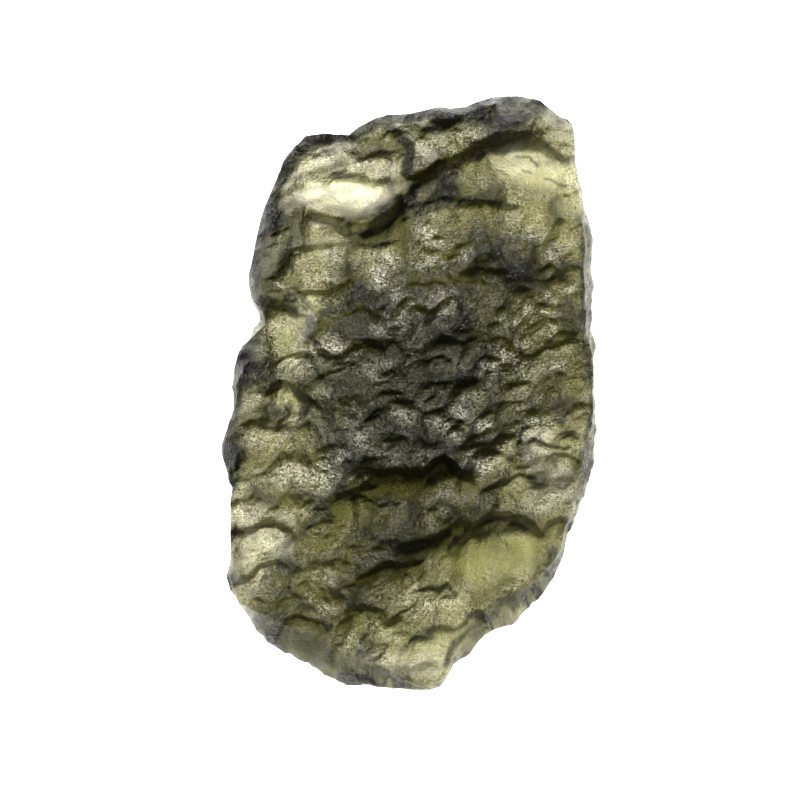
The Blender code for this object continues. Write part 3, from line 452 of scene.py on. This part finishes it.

# Lines of shade painted dark into crevices and under rims: half width, how dark, and the line
SHADE_LINES = (
    # the wall that ends the cream tongue, the gully above it, and the upper rim
    (0.28, 0.95, ((-2.6, 8.9), (-1.5, 9.3), (-0.6, 10.2), (0.0, 11.0), (0.5, 11.7))),
    (0.3, 0.8, ((-1.4, 15.2), (-0.6, 14.6), (0.1, 13.9), (0.0, 13.1), (-0.2, 12.3))),
    (0.45, 0.85, ((-8.9, 5.4), (-8.7, 8.0), (-8.2, 9.8), (-7.6, 11.6), (-7.0, 12.8), (-6.4, 13.8),
     (-5.4, 14.3), (-4.4, 14.5), (-3.2, 14.5), (-2.4, 15.0), (-1.4, 15.6), (0.4, 15.7), (1.8, 16.1),
     (3.4, 16.2), (4.8, 16.7))),
    (0.25, 0.8, ((0.7, 12.0), (2.0, 12.6), (3.4, 13.2), (5.0, 13.9), (6.2, 14.4), (7.4, 14.6))),
    (0.15, 0.7, ((-0.3, 10.1), (0.7, 10.6), (2.0, 10.7), (2.9, 10.9), (4.0, 10.7), (6.0, 10.4))),
    (0.15, 0.6, ((7.2, 14.8), (7.4, 14.2), (8.0, 13.7), (8.5, 13.4), (8.9, 13.1))),
    # thin arcs in the mint hollow
    (0.07, 0.6, ((6.0, 13.4), (6.8, 13.3), (7.3, 12.8))),
    (0.07, 0.6, ((5.0, 12.5), (5.6, 12.2))),
    (0.07, 0.6, ((6.4, 12.45), (6.9, 12.35))),
    (0.08, 0.6, ((7.7, 12.1), (8.8, 11.7))),
    # across the middle
    (0.3, 0.8, ((-8.2, 5.0), (-7.2, 4.8), (-6.4, 4.5))),
    (0.25, 0.5, ((-0.2, 4.0), (1.5, 4.1), (3.2, 4.0))),
    (0.08, 0.7, ((-5.9, 0.6), (-5.0, 0.85), (-4.0, 1.2), (-3.5, 1.4))),
    (0.45, 0.8, ((-8.3, 4.4), (-9.2, 3.0), (-9.8, 1.8), (-9.9, 0.4), (-9.9, -1.0), (-10.2, -2.4),
     (-10.4, -3.6), (-10.1, -5.2))),
    (0.3, 0.25, ((-3.5, -5.6), (-2.3, -5.3), (-1.5, -4.9), (-0.8, -4.7), (0.1, -4.9), (0.8, -4.7),
     (1.3, -4.3), (1.9, -4.1), (2.6, -4.3), (3.2, -4.8), (4.0, -5.4))),
    # rims over the wide scoop, and a scratch
    (0.35, 0.95, ((-0.8, -9.0), (0.4, -8.6), (1.4, -8.4), (2.2, -8.0))),
    (0.18, 0.9, ((2.3, -8.8), (3.2, -7.8), (3.9, -7.4), (4.8, -7.1), (5.6, -7.0), (6.5, -7.15), (7.1, -7.5))),
    (0.06, 0.6, ((0.9, -10.0), (0.0, -10.9), (-0.9, -11.5), (-2.2, -11.9))),
    # where the face meets the sides
    (0.18, 0.6, ((9.7, -5.0), (9.6, -6.0), (9.3, -7.5), (8.9, -8.3), (8.8, -9.2), (8.0, -10.0),
     (7.3, -11.0), (6.0, -11.4), (4.9, -12.2), (4.0, -13.0), (3.0, -13.8), (2.3, -14.5), (2.0, -15.5))),
    (0.15, 0.7, ((9.8, 10.0), (9.85, 6.3), (9.8, 3.0), (10.3, 1.0), (10.35, -1.5), (9.9, -2.5),
     (9.85, -4.0))),
    (0.12, 0.8, ((10.2, 6.3), (10.1, 4.6), (10.3, 3.0))),
    (0.2, 0.6, ((-9.3, -12.5), (-8.0, -13.0), (-7.0, -13.2), (-5.5, -14.0), (-4.0, -14.8), (-3.0, -15.4),
     (-1.3, -15.8))),
)

# Pit floors whitened as painted sheen, so that they shine grey where they face the lamp: x, y and radius
SHEEN_PATCHES = (
    (0.9, 8.6, 0.7), (-1.1, 7.0, 0.9), (0.6, 7.5, 0.6), (3.7, 7.5, 0.6), (8.8, 6.0, 0.5),
    (-0.5, 4.8, 0.9), (-1.5, 3.4, 0.5), (-2.8, 2.5, 0.6), (-4.5, 1.9, 0.9), (2.1, 4.8, 0.8),
    (0.5, 4.7, 0.6), (5.5, 4.5, 0.7), (6.6, 4.8, 0.6), (7.9, 4.8, 0.6), (8.9, 4.5, 0.6),
    (5.3, 2.1, 0.8), (6.2, 2.3, 0.6), (4.6, 1.7, 0.6), (8.2, 1.1, 0.6), (-8.8, -0.5, 0.6),
    (-6.7, -4.6, 0.9), (-4.3, -4.6, 0.7), (-3.0, -4.6, 0.6), (-3.6, -3.2, 0.7), (-2.6, -3.3, 0.6),
    (2.5, -1.8, 0.7), (4.0, -2.0, 0.6), (4.0, -3.8, 0.6), (2.8, -5.3, 1.0), (0.6, -11.6, 0.7),
    (2.3, -11.5, 0.6), (4.5, 16.0, 0.7), (1.8, 15.8, 0.6), (2.6, 15.3, 0.5), (-5.2, 13.2, 1.4),
    (-1.2, 14.9, 0.5), (0.8, 14.2, 0.7), (1.6, 14.8, 0.6), (0.3, 15.4, 0.5), (2.4, 14.3, 0.5),
    (6.6, 15.9, 0.6), (-8.2, 9.0, 0.4), (-8.6, 7.4, 0.4), (-7.0, 12.4, 0.4),
)

# Clear places where the skin scatters less and more light comes through: x, y, half width, half
# height, turn in degrees, and how clear
CLEAR = (
    (-3.3, 11.0, 4.0, 1.6, -6.0, 0.45), (-5.2, 13.2, 2.2, 1.2, 28.0, 0.3), (6.6, 13.0, 2.8, 1.7, -12.0, 0.2),
    (-5.7, 3.9, 1.5, 2.8, 0.0, 0.4), (-6.8, 1.5, 1.4, 1.4, 0.0, 0.3), (-7.0, -0.9, 1.8, 1.2, 0.0, 0.2),
    (7.6, -3.6, 2.4, 2.4, 0.0, 0.3), (-8.4, -8.4, 2.2, 2.0, 0.0, 0.15), (-9.0, -10.5, 1.3, 0.9, 0.0, 0.3),
)

# Silky pale bands that scatter more light: half width, how silky, and the line
SILK = (
    (0.9, 0.4, ((-5.2, 11.0), (-3.4, 10.9), (-1.9, 11.0))),
    (0.5, 0.55, ((-6.9, 10.4), (-5.8, 11.1), (-4.6, 11.3))),
    (0.4, 0.5, ((-1.9, 11.1), (-0.5, 11.5))),
    (0.75, 0.65, ((-7.1, 12.1), (-6.0, 12.9), (-4.6, 13.8), (-3.6, 14.3))),
    (0.6, 0.45, ((-4.2, 12.7), (-2.4, 12.7), (-1.0, 12.4))),
    (0.35, 0.5, ((-0.6, 14.9), (0.4, 14.2), (1.3, 13.2))),
    (0.3, 0.4, ((1.0, 15.2), (1.9, 14.2))),
    (0.5, 0.3, ((-6.2, 8.2), (-4.4, 8.4), (-2.9, 9.0))),
    (0.8, 0.3, ((5.4, 13.0), (7.6, 13.2), (8.8, 14.4))),
    (0.5, 0.3, ((-5.7, 5.4), (-5.6, 3.2), (-6.7, 1.7))),
    (0.6, 0.45, ((-9.7, -6.9), (-8.2, -6.8), (-7.0, -7.0))),
    (0.8, 0.4, ((-9.2, -8.2), (-9.4, -9.6), (-9.2, -10.6))),
    (0.7, 0.4, ((-7.1, -8.7), (-7.3, -9.6))),
    (0.9, 0.45, ((7.2, -2.8), (7.3, -3.8), (8.6, -5.2), (7.4, -6.0))),
    (0.7, 0.5, ((-2.6, -15.0), (-0.8, -15.4), (1.4, -15.4))),
)

# Crests with painted highlights: half width and the line
HIGHLIGHT_CRESTS = (
    (0.1, ((-7.5, 6.1), (-6.6, 5.75), (-6.1, 5.6))),
    (0.15, ((-1.0, 15.0), (0.2, 14.2), (1.0, 13.2))),
    (0.12, ((7.0, 2.1), (8.4, 2.6), (9.7, 2.95))),
    (0.12, ((-5.4, 9.9), (-4.2, 9.9), (-3.4, 9.4))),
)


def linear(code):
    """Linear light from an sRGB hex colour such as #6f7a3a."""
    values = [int(code[i:i + 2], 16) / 255 for i in (1, 3, 5)]
    return [v / 12.92 if v <= 0.04045 else ((v + 0.055) / 1.055) ** 2.4 for v in values]


class StoneSettings(PropertyGroup):
    """Size, fineness and glass of the stone."""
    length: FloatProperty(
        name="Length", description="Length of the stone along its long side", unit="LENGTH",
        default=CAD_BOX[1][1] - CAD_BOX[0][1], min=0.005)
    columns: IntProperty(
        name="Columns", description="Cells across the face, an even number", default=224, min=16, max=260)
    rows: IntProperty(
        name="Rows", description="Cells along the face, an even number", default=288, min=16, max=320)
    side_rows: IntProperty(
        name="Side rows", description="Rings of points round the side", default=15, min=1, max=20)
    glass_colour: FloatVectorProperty(
        name="Glass colour", description="What the glass lets through of red, green and blue",
        subtype="COLOR", default=linear("#afaf00"), min=0.0, max=1.0)
    glass_depth: FloatProperty(
        name="Depth of colour", description="How fast the glass dims light, per metre",
        default=640.0, min=0.0)
    # The dark colour of the painted shade, and of the darker veins of silky bands
    shade_and_vein_colour: FloatVectorProperty(
        name="Shade and vein colour", description="Dark film in crevices and along the rim", subtype="COLOR",
        default=linear("#20201a"), min=0.0, max=1.0)
    skin_colour: FloatVectorProperty(
        name="Skin colour", description="Clean and whitened skin", subtype="COLOR",
        default=linear("#fdf9e4"), min=0.0, max=1.0)
    roughness: FloatProperty(
        name="Roughness", description="How matt the etched skin is", subtype="FACTOR",
        default=0.3, min=0.0, max=1.0)
    grain: FloatProperty(
        name="Grain", description="Width and depth of the finest etching", unit="LENGTH",
        default=0.09 * MM, min=0.01 * MM)
    grit: FloatProperty(
        name="Grit", description="Width of the smallest round pits", unit="LENGTH",
        default=0.26 * MM, min=0.01 * MM)


class StageSettings(PropertyGroup):
    """The light table, the lamp and the camera's lens."""
    table_colour: FloatVectorProperty(
        name="Table colour", description="The table's matt top", subtype="COLOR",
        default=linear("#f0f0f0"), min=0.0, max=1.0)
    glow: FloatProperty(
        name="Glow", description="How strongly the table shines from within", default=0.95, min=0.0)
    room_light: FloatVectorProperty(
        name="Room light", description="Light from all round", subtype="COLOR",
        default=linear("#aaaaaa"), min=0.0, max=1.0)
    lamp_power: FloatProperty(
        name="Lamp power", description="Power of the soft lamp over the stone's upper end",
        unit="POWER", default=3.8, min=0.0)
    lamp_width: FloatProperty(
        name="Lamp width", description="Width of the soft lamp", unit="LENGTH", default=0.22, min=0.01)
    lens: FloatProperty(
        name="Lens", description="Focal length in millimetres", subtype="DISTANCE_CAMERA",
        default=150.0, min=20.0)


def line_distance(x, y, line):
    """How far points are from a line through its corners."""
    nearest = np.full(np.shape(x), np.inf)
    for (start_x, start_y), (end_x, end_y) in zip(line, line[1:]):
        run_x, run_y = end_x - start_x, end_y - start_y
        share = ((x - start_x) * run_x + (y - start_y) * run_y) / (run_x**2 + run_y**2)
        share = np.clip(share, 0.0, 1.0)
        nearest = np.minimum(nearest, np.hypot(x - start_x - share * run_x, y - start_y - share * run_y))
    return nearest


def strayed(x, y, width, reach, seed):
    """Places moved by up to reach along both axes, by noise with features as wide as width."""
    return x + reach * noise(x / width, y / width, seed), y + reach * noise(x / width, y / width, seed + 1)


def folded_over_rim(x, y, z):
    """Where points take their marks from, and how much they are on the stone's side, from 0 to 1. A
    point of the side takes them from as far inside the rim, nearly, as it lies below the face."""
    distance = np.hypot(x, y)
    outer, side_width, _ = rim_at(np.arctan2(y, x))
    on_side = smooth((distance - outer + side_width) / 0.25)
    below = np.maximum(face_height(x, y) - z, 0.0)
    fold = 1.0 - SIDE_FOLD * on_side * below / np.maximum(distance, 4.0)
    return x * fold, y * fold, on_side


def frost_and_painted_sheen(x, y, rise, floors, rough):
    """Whitened skin, from 0 to 1: a little everywhere, and painted sheen on cup floors that face the
    stone's upper end and the lamp, most of all in blotches and the named patches, all less where the
    face is smooth, and painted highlights on the listed crests."""
    ragged_x, ragged_y = strayed(x, y, 0.7, 0.3, 61)
    patches = [smooth(1.6 - np.hypot(ragged_x - px, ragged_y - py) / r) for px, py, r in SHEEN_PATCHES]
    blotches = smooth((noise(x / 1.7, y / 1.3, 63) + 0.5) / 1.0)
    # painted sheen: cup floors that face the lamp
    lit = smooth((0.4 - rise) / 0.8) * (0.3 + 0.7 * smooth((floors - 0.15) / 0.4))
    frost_and_sheen = lit * np.clip(BLOTCH_SHEEN * blotches + np.max(patches, axis=0), 0.0, 1.0)
    frost_and_sheen = (BARE_FROST + (1.0 - BARE_FROST) * frost_and_sheen) * (0.3 + 0.7 * rough)
    crests = [smooth(1.6 - line_distance(x, y, line) / half) for half, line in HIGHLIGHT_CRESTS]
    return np.maximum(frost_and_sheen, np.max(crests, axis=0))


def silkiness(x, y):
    """Silky skin, from 0 to 1: the strongest of the named bands, whose edges stray a little."""
    bent_x, bent_y = strayed(x, y, 0.5, 0.12, 64)
    bands = [share * smooth((1.3 - line_distance(bent_x, bent_y, line) / half) / 0.6)
             for half, share, line in SILK]
    return np.max(bands, axis=0)


def shading_and_veins(x, y, rise, floors, rough, silk, on_side):
    """Painted darkness, from 0 to 1. Painted shade lies on walls by how steeply the face rises along Y,
    away from the lamp, in the named shade patches, which are spotted, on the stone's sides and in the
    seams between cups. Silky bands keep less of it, but have darker veins. The named shade lines are at
    least as dark as their own value."""
    ragged_x, ragged_y = strayed(x, y, 0.7, 0.3, 61)
    bent_x, bent_y = strayed(x, y, 0.5, 0.12, 64)
    # painted shade on walls that face away from the lamp, in the named patches, on the sides and in seams
    walls = WALL_SHADE * smooth((rise - 0.25) / 0.9)
    spots = smooth((noise(x / 0.45, y / 0.35, 67) + 0.4) / 0.8)
    shading = sum(share * oval(ragged_x, ragged_y, *place) for *place, share in SHADE_PATCHES)
    side_shade = SIDE_SHADE * on_side * (1.0 + noise(ragged_x / 0.5, ragged_y / 0.5, 66))
    seams = SEAM_SHADE * rough * (1.0 - smooth(floors / 0.22))
    veins = silk * smooth((noise((x + 0.5 * y) / 1.8, (y - 0.3 * x) / 0.4, 68) + 0.2) / 0.7)
    crevices = [dark * smooth(1.5 - line_distance(bent_x, bent_y, line) / half)
                for half, dark, line in SHADE_LINES]
    loose = (walls + shading * (0.65 + 0.45 * spots) + side_shade + seams) * (1.0 - silk)
    return np.clip(np.maximum(loose + VEIN_FILM * veins, np.max(crevices, axis=0)), 0.0, 1.0)


def skin_values(x, y, z):
    """How whitened, with painted sheen in part, how silky, how darkened, mostly by painted shade, how porous
    and how finely etched the skin is, each from 0 to 1. Light passes the skin's colour by its square root,
    so the darkening is one less the square of what the painted darkness leaves clear. Pores are as many
    as the face is rough, and the etching is weaker in the clear places."""
    x, y, on_side = folded_over_rim(x, y, z)
    rise = (face_height(x, y + SLOPE_STEP) - face_height(x, y - SLOPE_STEP)) / (2.0 * SLOPE_STEP)
    pitch, _, seed = FACE_CUPS[1]
    floors = cups(*etch_place(*strayed(x, y, 0.5, 0.12, 64)), pitch, seed)
    calm = sum(share * oval(x, y, *place) for *place, share in CALM)
    rough = 1.0 - np.clip(calm, 0.0, 0.9)
    silk = silkiness(x, y)
    shading = shading_and_veins(x, y, rise, floors, rough, silk, on_side)
    clear = sum(share * oval(x, y, *place) for *place, share in CLEAR)
    frost_and_sheen = frost_and_painted_sheen(x, y, rise, floors, rough)
    return frost_and_sheen, silk, 1.0 - (1.0 - shading) ** 2, rough, 1.0 - np.clip(clear, 0.0, 0.9)


def rim_loop(columns, rows):
    """Indices of a grid's outer points, anticlockwise from its lowest corner, for points that are
    numbered row by row."""
    wide = columns + 1
    south = np.arange(columns)
    east = columns + wide * np.arange(rows)
    north = wide * rows + columns - np.arange(columns)
    west = wide * (rows - np.arange(rows))
    return np.concatenate([south, east, north, west])


def grid_points(columns, rows, w):
    """Points of one flat side of the cube, row by row, at height w."""
    u, v = np.meshgrid(np.linspace(-1, 1, columns + 1), np.linspace(-1, 1, rows + 1))
    return np.stack([u.ravel(), v.ravel(), np.full(u.size, w)], axis=-1)


def grid_triangles(columns, rows):
    """Two triangles for each cell of a grid whose points are numbered row by row, facing up."""
    column, row = np.meshgrid(np.arange(columns), np.arange(rows))
    corner = (row * (columns + 1) + column).ravel()
    far = corner + columns + 1
    return np.concatenate([
        np.stack([corner, corner + 1, far + 1], axis=-1),
        np.stack([corner, far + 1, far], axis=-1),
    ])


def band_triangles(upper, lower):
    """Two triangles for each step between two rings of the same number of points, facing out."""
    next_upper, next_lower = np.roll(upper, -1), np.roll(lower, -1)
    return np.concatenate([
        np.stack([upper, lower, next_lower], axis=-1),
        np.stack([upper, next_lower, next_upper], axis=-1),
    ])


def halving_triangles(fine_ring, coarse_ring):
    """Three triangles for each step of a coarse ring below a ring with twice its points."""
    first, middle, last = fine_ring[::2], fine_ring[1::2], np.roll(fine_ring, -2)[::2]
    here, there = coarse_ring, np.roll(coarse_ring, -1)
    return np.concatenate([
        np.stack([first, here, middle], axis=-1),
        np.stack([middle, here, there], axis=-1),
        np.stack([middle, there, last], axis=-1),
    ])


def stone_surface(columns, rows, side_rows):
    """Points, in millimetres, and triangles of the whole skin: a fine grid for the face, rings for
    the sides, and a grid half as fine for the underside."""
    face = grid_points(columns, rows, 1.0)
    face_loop = rim_loop(columns, rows)
    levels = np.linspace(1, -1, side_rows + 2)[1:-1]
    ring = face[face_loop]
    sides = np.concatenate([np.column_stack([ring[:, :2], np.full(len(ring), w)]) for w in levels])
    back = grid_points(columns // 2, rows // 2, -1.0)

    side_loops = len(face) + np.arange(len(sides)).reshape(side_rows, len(ring))
    back_start = len(face) + len(sides)
    back_loop = back_start + rim_loop(columns // 2, rows // 2)
    loops = [face_loop, *side_loops]
    triangles = [grid_triangles(columns, rows)]
    triangles += [band_triangles(upper, lower) for upper, lower in zip(loops, loops[1:])]
    triangles.append(halving_triangles(loops[-1], back_loop))
    triangles.append(back_start + grid_triangles(columns // 2, rows // 2)[:, ::-1])

    cube = np.concatenate([face, sides, back])
    points = stone_point(*cube.T)
    points[:, :2] -= (points.min(axis=0) + points.max(axis=0))[:2] / 2.0
    return points, np.concatenate(triangles)


def mesh_from(name, points, triangles):
    """A Blender mesh from whole arrays of points and triangles."""
    mesh = bpy.data.meshes.new(name)
    mesh.vertices.add(len(points))
    mesh.vertices.foreach_set("co", points.astype(np.float32).ravel())
    mesh.loops.add(triangles.size)
    mesh.loops.foreach_set("vertex_index", triangles.astype(np.int32).ravel())
    mesh.polygons.add(len(triangles))
    mesh.polygons.foreach_set("loop_start", np.arange(0, triangles.size, 3, dtype=np.int32))
    mesh.update(calc_edges=True)
    mesh.validate()
    mesh.shade_smooth()
    return mesh


def add_node(tree, kind, settings=None, **links):
    """Adds a node, sets its properties and its sockets, and links the sockets named in links.
    A setting whose name is a property of the node sets that, and any other sets a socket. A link
    name of an underscore and a number stands for the socket of that number."""
    node = tree.nodes.new(kind)
    for name, value in (settings or {}).items():
        if isinstance(name, str) and hasattr(node, name):
            setattr(node, name, value)
        else:
            node.inputs[name].default_value = value
    for name, source in links.items():
        socket = node.inputs[int(name[1:])] if name[0] == "_" else node.inputs[name.replace("_", " ")]
        tree.links.new(source, socket)
    return node


def moldavite_glass(settings):
    """Natural green glass, etched half matt by ground acids. Light passes through it and is dimmed
    by its depth, the etching scatters a pale sheen off its face, painted on where the face turns to the
    lamp, and shade is painted dark into crevices, tiny pits, walls and along the rim."""
    material = bpy.data.materials.new("moldavite_glass")
    material.use_nodes = True
    tree = material.node_tree
    shader = tree.nodes["Principled BSDF"]
    place = add_node(tree, "ShaderNodeTexCoord").outputs["Object"]
    frost_and_sheen, silk, shade_and_veins, porous, etched = (
        add_node(tree, "ShaderNodeAttribute", {"attribute_name": name}).outputs["Fac"]
        for name in SKIN_MARKS)

    # the finest etching: fine grain over round pits, drawn coarser than it is so that it shows
    grain = add_node(tree, "ShaderNodeTexNoise", {"Scale": 1 / settings.grain, "Detail": 1.0},
                     Vector=place)
    grit = add_node(tree, "ShaderNodeTexVoronoi", {"Scale": 1 / settings.grit}, Vector=place)
    grain_bump = add_node(tree, "ShaderNodeBump", {"Distance": 1.3 * settings.grain},
                          Height=grain.outputs["Fac"], Strength=etched)
    grit_bump = add_node(tree, "ShaderNodeBump", {"Distance": 0.3 * settings.grit},
                         Height=grit.outputs["Distance"], Strength=etched,
                         Normal=grain_bump.outputs["Normal"])
    tree.links.new(grit_bump.outputs["Normal"], shader.inputs["Normal"])

    # whitened flecks, partly painted sheen, and silky bands scatter the light that clear skin lets through
    streaks = add_node(tree, "ShaderNodeMapping",
                       {"Rotation": (0.0, 0.0, math.radians(-8.0)), "Scale": (0.5, 1.0, 1.0)}, Vector=place)
    speck = add_node(tree, "ShaderNodeTexNoise",
                     {"Scale": 1.2 / settings.grain, "Detail": 3.0, "Roughness": 0.65, "Distortion": 1.0},
                     Vector=streaks.outputs["Vector"])
    flecks = add_node(tree, "ShaderNodeMapRange", {"From Min": 0.48, "From Max": 0.58},
                      Value=speck.outputs["Fac"])
    fleck_cover = add_node(tree, "ShaderNodeMath", {"operation": "MULTIPLY"},
                           _0=flecks.outputs["Result"], _1=frost_and_sheen)
    cover = add_node(tree, "ShaderNodeMath", {"operation": "MAXIMUM"},
                     _0=fleck_cover.outputs["Value"], _1=silk)
    clear = add_node(tree, "ShaderNodeMapRange", {"To Min": 1.0, "To Max": 0.5},
                     Value=cover.outputs["Value"])
    tree.links.new(clear.outputs["Result"], shader.inputs["Transmission Weight"])

    # painted shade in tiny pits, in crevices, on walls and along the rim, and the darker veins, keep light
    # out
    pit_shade = add_node(tree, "ShaderNodeMapRange",
                     {"From Min": 0.38, "From Max": 0.53, "To Min": 0.9, "To Max": 0.0},
                     Value=speck.outputs["Fac"])
    shaded_pits = add_node(tree, "ShaderNodeMath", {"operation": "MULTIPLY"},
                          _0=pit_shade.outputs["Result"], _1=porous)
    all_shade_and_veins = add_node(tree, "ShaderNodeMath", {"operation": "MAXIMUM"},
                    _0=shaded_pits.outputs["Value"], _1=shade_and_veins)
    tint = add_node(tree, "ShaderNodeMix",
                    {"data_type": "RGBA", 6: (*settings.skin_colour, 1.0), 7: (*settings.shade_and_vein_colour, 1.0)},
                    _0=all_shade_and_veins.outputs["Value"])
    tree.links.new(tint.outputs[2], shader.inputs["Base Color"])

    # this glass bends light by 1.48 to 1.51
    shader.inputs["Roughness"].default_value = settings.roughness
    shader.inputs["IOR"].default_value = 1.49
    depth = add_node(tree, "ShaderNodeVolumeAbsorption",
                     {"Density": settings.glass_depth, "Color": (*settings.glass_colour, 1.0)})
    tree.links.new(depth.outputs["Volume"], tree.nodes["Material Output"].inputs["Volume"])
    return material


def table_top(settings):
    """The pale top of a light table: matt white, glowing evenly."""
    material = bpy.data.materials.new("light_table_top")
    material.use_nodes = True
    shader = material.node_tree.nodes["Principled BSDF"]
    shader.inputs["Base Color"].default_value = (*settings.table_colour, 1.0)
    shader.inputs["Roughness"].default_value = 0.6
    shader.inputs["Emission Color"].default_value = (1.0, 1.0, 1.0, 1.0)
    shader.inputs["Emission Strength"].default_value = settings.glow
    return material


class MOLDAVITE_OT_stone(Operator):
    """Builds the stone: its finely etched mesh with its glass"""
    bl_idname = "moldavite.stone"
    bl_label = "Build stone"

    def execute(self, context):
        settings = context.scene.moldavite_stone
        points, triangles = stone_surface(settings.columns, settings.rows, settings.side_rows)
        mesh = mesh_from("moldavite_stone", points * settings.length / np.ptp(points[:, 1]), triangles)
        for name, values in zip(SKIN_MARKS, skin_values(*points.T)):
            attribute = mesh.attributes.new(name, "FLOAT", "POINT")
            attribute.data.foreach_set("value", values.astype(np.float32))
        mesh.materials.append(moldavite_glass(settings))
        stone = bpy.data.objects.new("moldavite_stone", mesh)
        context.scene.collection.objects.link(stone)
        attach(stone, BODY)
        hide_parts(NODE)
        return {"FINISHED"}


class MOLDAVITE_OT_stage(Operator):
    """Builds the light table, the soft lamp and the camera that looks straight down"""
    bl_idname = "moldavite.stage"
    bl_label = "Build stage"

    def execute(self, context):
        scene = context.scene
        settings = scene.moldavite_stage
        corners = [(TABLE_SIDE * x, TABLE_SIDE * y, TABLE_Z) for x, y in ((-1, -1), (1, -1), (1, 1), (-1, 1))]
        table_mesh = bpy.data.meshes.new("light_table")
        table_mesh.from_pydata(corners, [], [(0, 1, 2, 3)])
        table_mesh.materials.append(table_top(settings))
        table = bpy.data.objects.new("light_table", table_mesh)
        scene.collection.objects.link(table)

        world = bpy.data.worlds.new("studio")
        world.use_nodes = True
        world.node_tree.nodes["Background"].inputs["Color"].default_value = (*settings.room_light, 1.0)
        scene.world = world

        lamp = bpy.data.lights.new("lamp", "AREA")
        lamp.size, lamp.energy = settings.lamp_width, settings.lamp_power
        light = bpy.data.objects.new("lamp", lamp)
        light.location = LAMP_PLACE
        light.rotation_euler = (-Vector(LAMP_PLACE)).to_track_quat("-Z", "Y").to_euler()
        light.visible_camera = False
        scene.collection.objects.link(light)

        camera_data = bpy.data.cameras.new("camera")
        camera_data.lens = settings.lens
        camera_data.clip_start = 0.001
        camera = bpy.data.objects.new("camera", camera_data)
        distance = VIEW_WIDTH * camera_data.lens / camera_data.sensor_width
        camera.location = (*VIEW_MIDDLE, VIEW_Z + distance)
        scene.collection.objects.link(camera)
        scene.camera = camera
        scene.view_settings.view_transform = "Standard"
        scene.view_settings.look = "High Contrast"
        return {"FINISHED"}


class MOLDAVITE_PT_panel(Panel):
    """Lists the settings and a button for each step"""
    bl_idname = "MOLDAVITE_PT_panel"
    bl_label = "Moldavite"
    bl_space_type = "VIEW_3D"
    bl_region_type = "UI"
    bl_category = "Moldavite"

    def draw(self, context):
        for settings, operator in ((context.scene.moldavite_stone, MOLDAVITE_OT_stone),
                                   (context.scene.moldavite_stage, MOLDAVITE_OT_stage)):
            box = self.layout.box()
            for name in settings.__annotations__:
                box.prop(settings, name)
            box.operator(operator.bl_idname)


CLASSES = (StoneSettings, StageSettings, MOLDAVITE_OT_stone, MOLDAVITE_OT_stage, MOLDAVITE_PT_panel)


def register():
    """Makes the settings, the operators and the panel known to Blender."""
    for cls in CLASSES:
        bpy.utils.register_class(cls)
    bpy.types.Scene.moldavite_stone = PointerProperty(type=StoneSettings)
    bpy.types.Scene.moldavite_stage = PointerProperty(type=StageSettings)


def unregister():
    """Takes them away again."""
    del bpy.types.Scene.moldavite_stage
    del bpy.types.Scene.moldavite_stone
    for cls in reversed(CLASSES):
        bpy.utils.unregister_class(cls)


def main():
    """Builds the stone and the stage."""
    register()
    bpy.ops.moldavite.stone()
    bpy.ops.moldavite.stage()


if __name__ == "__main__":
    main()
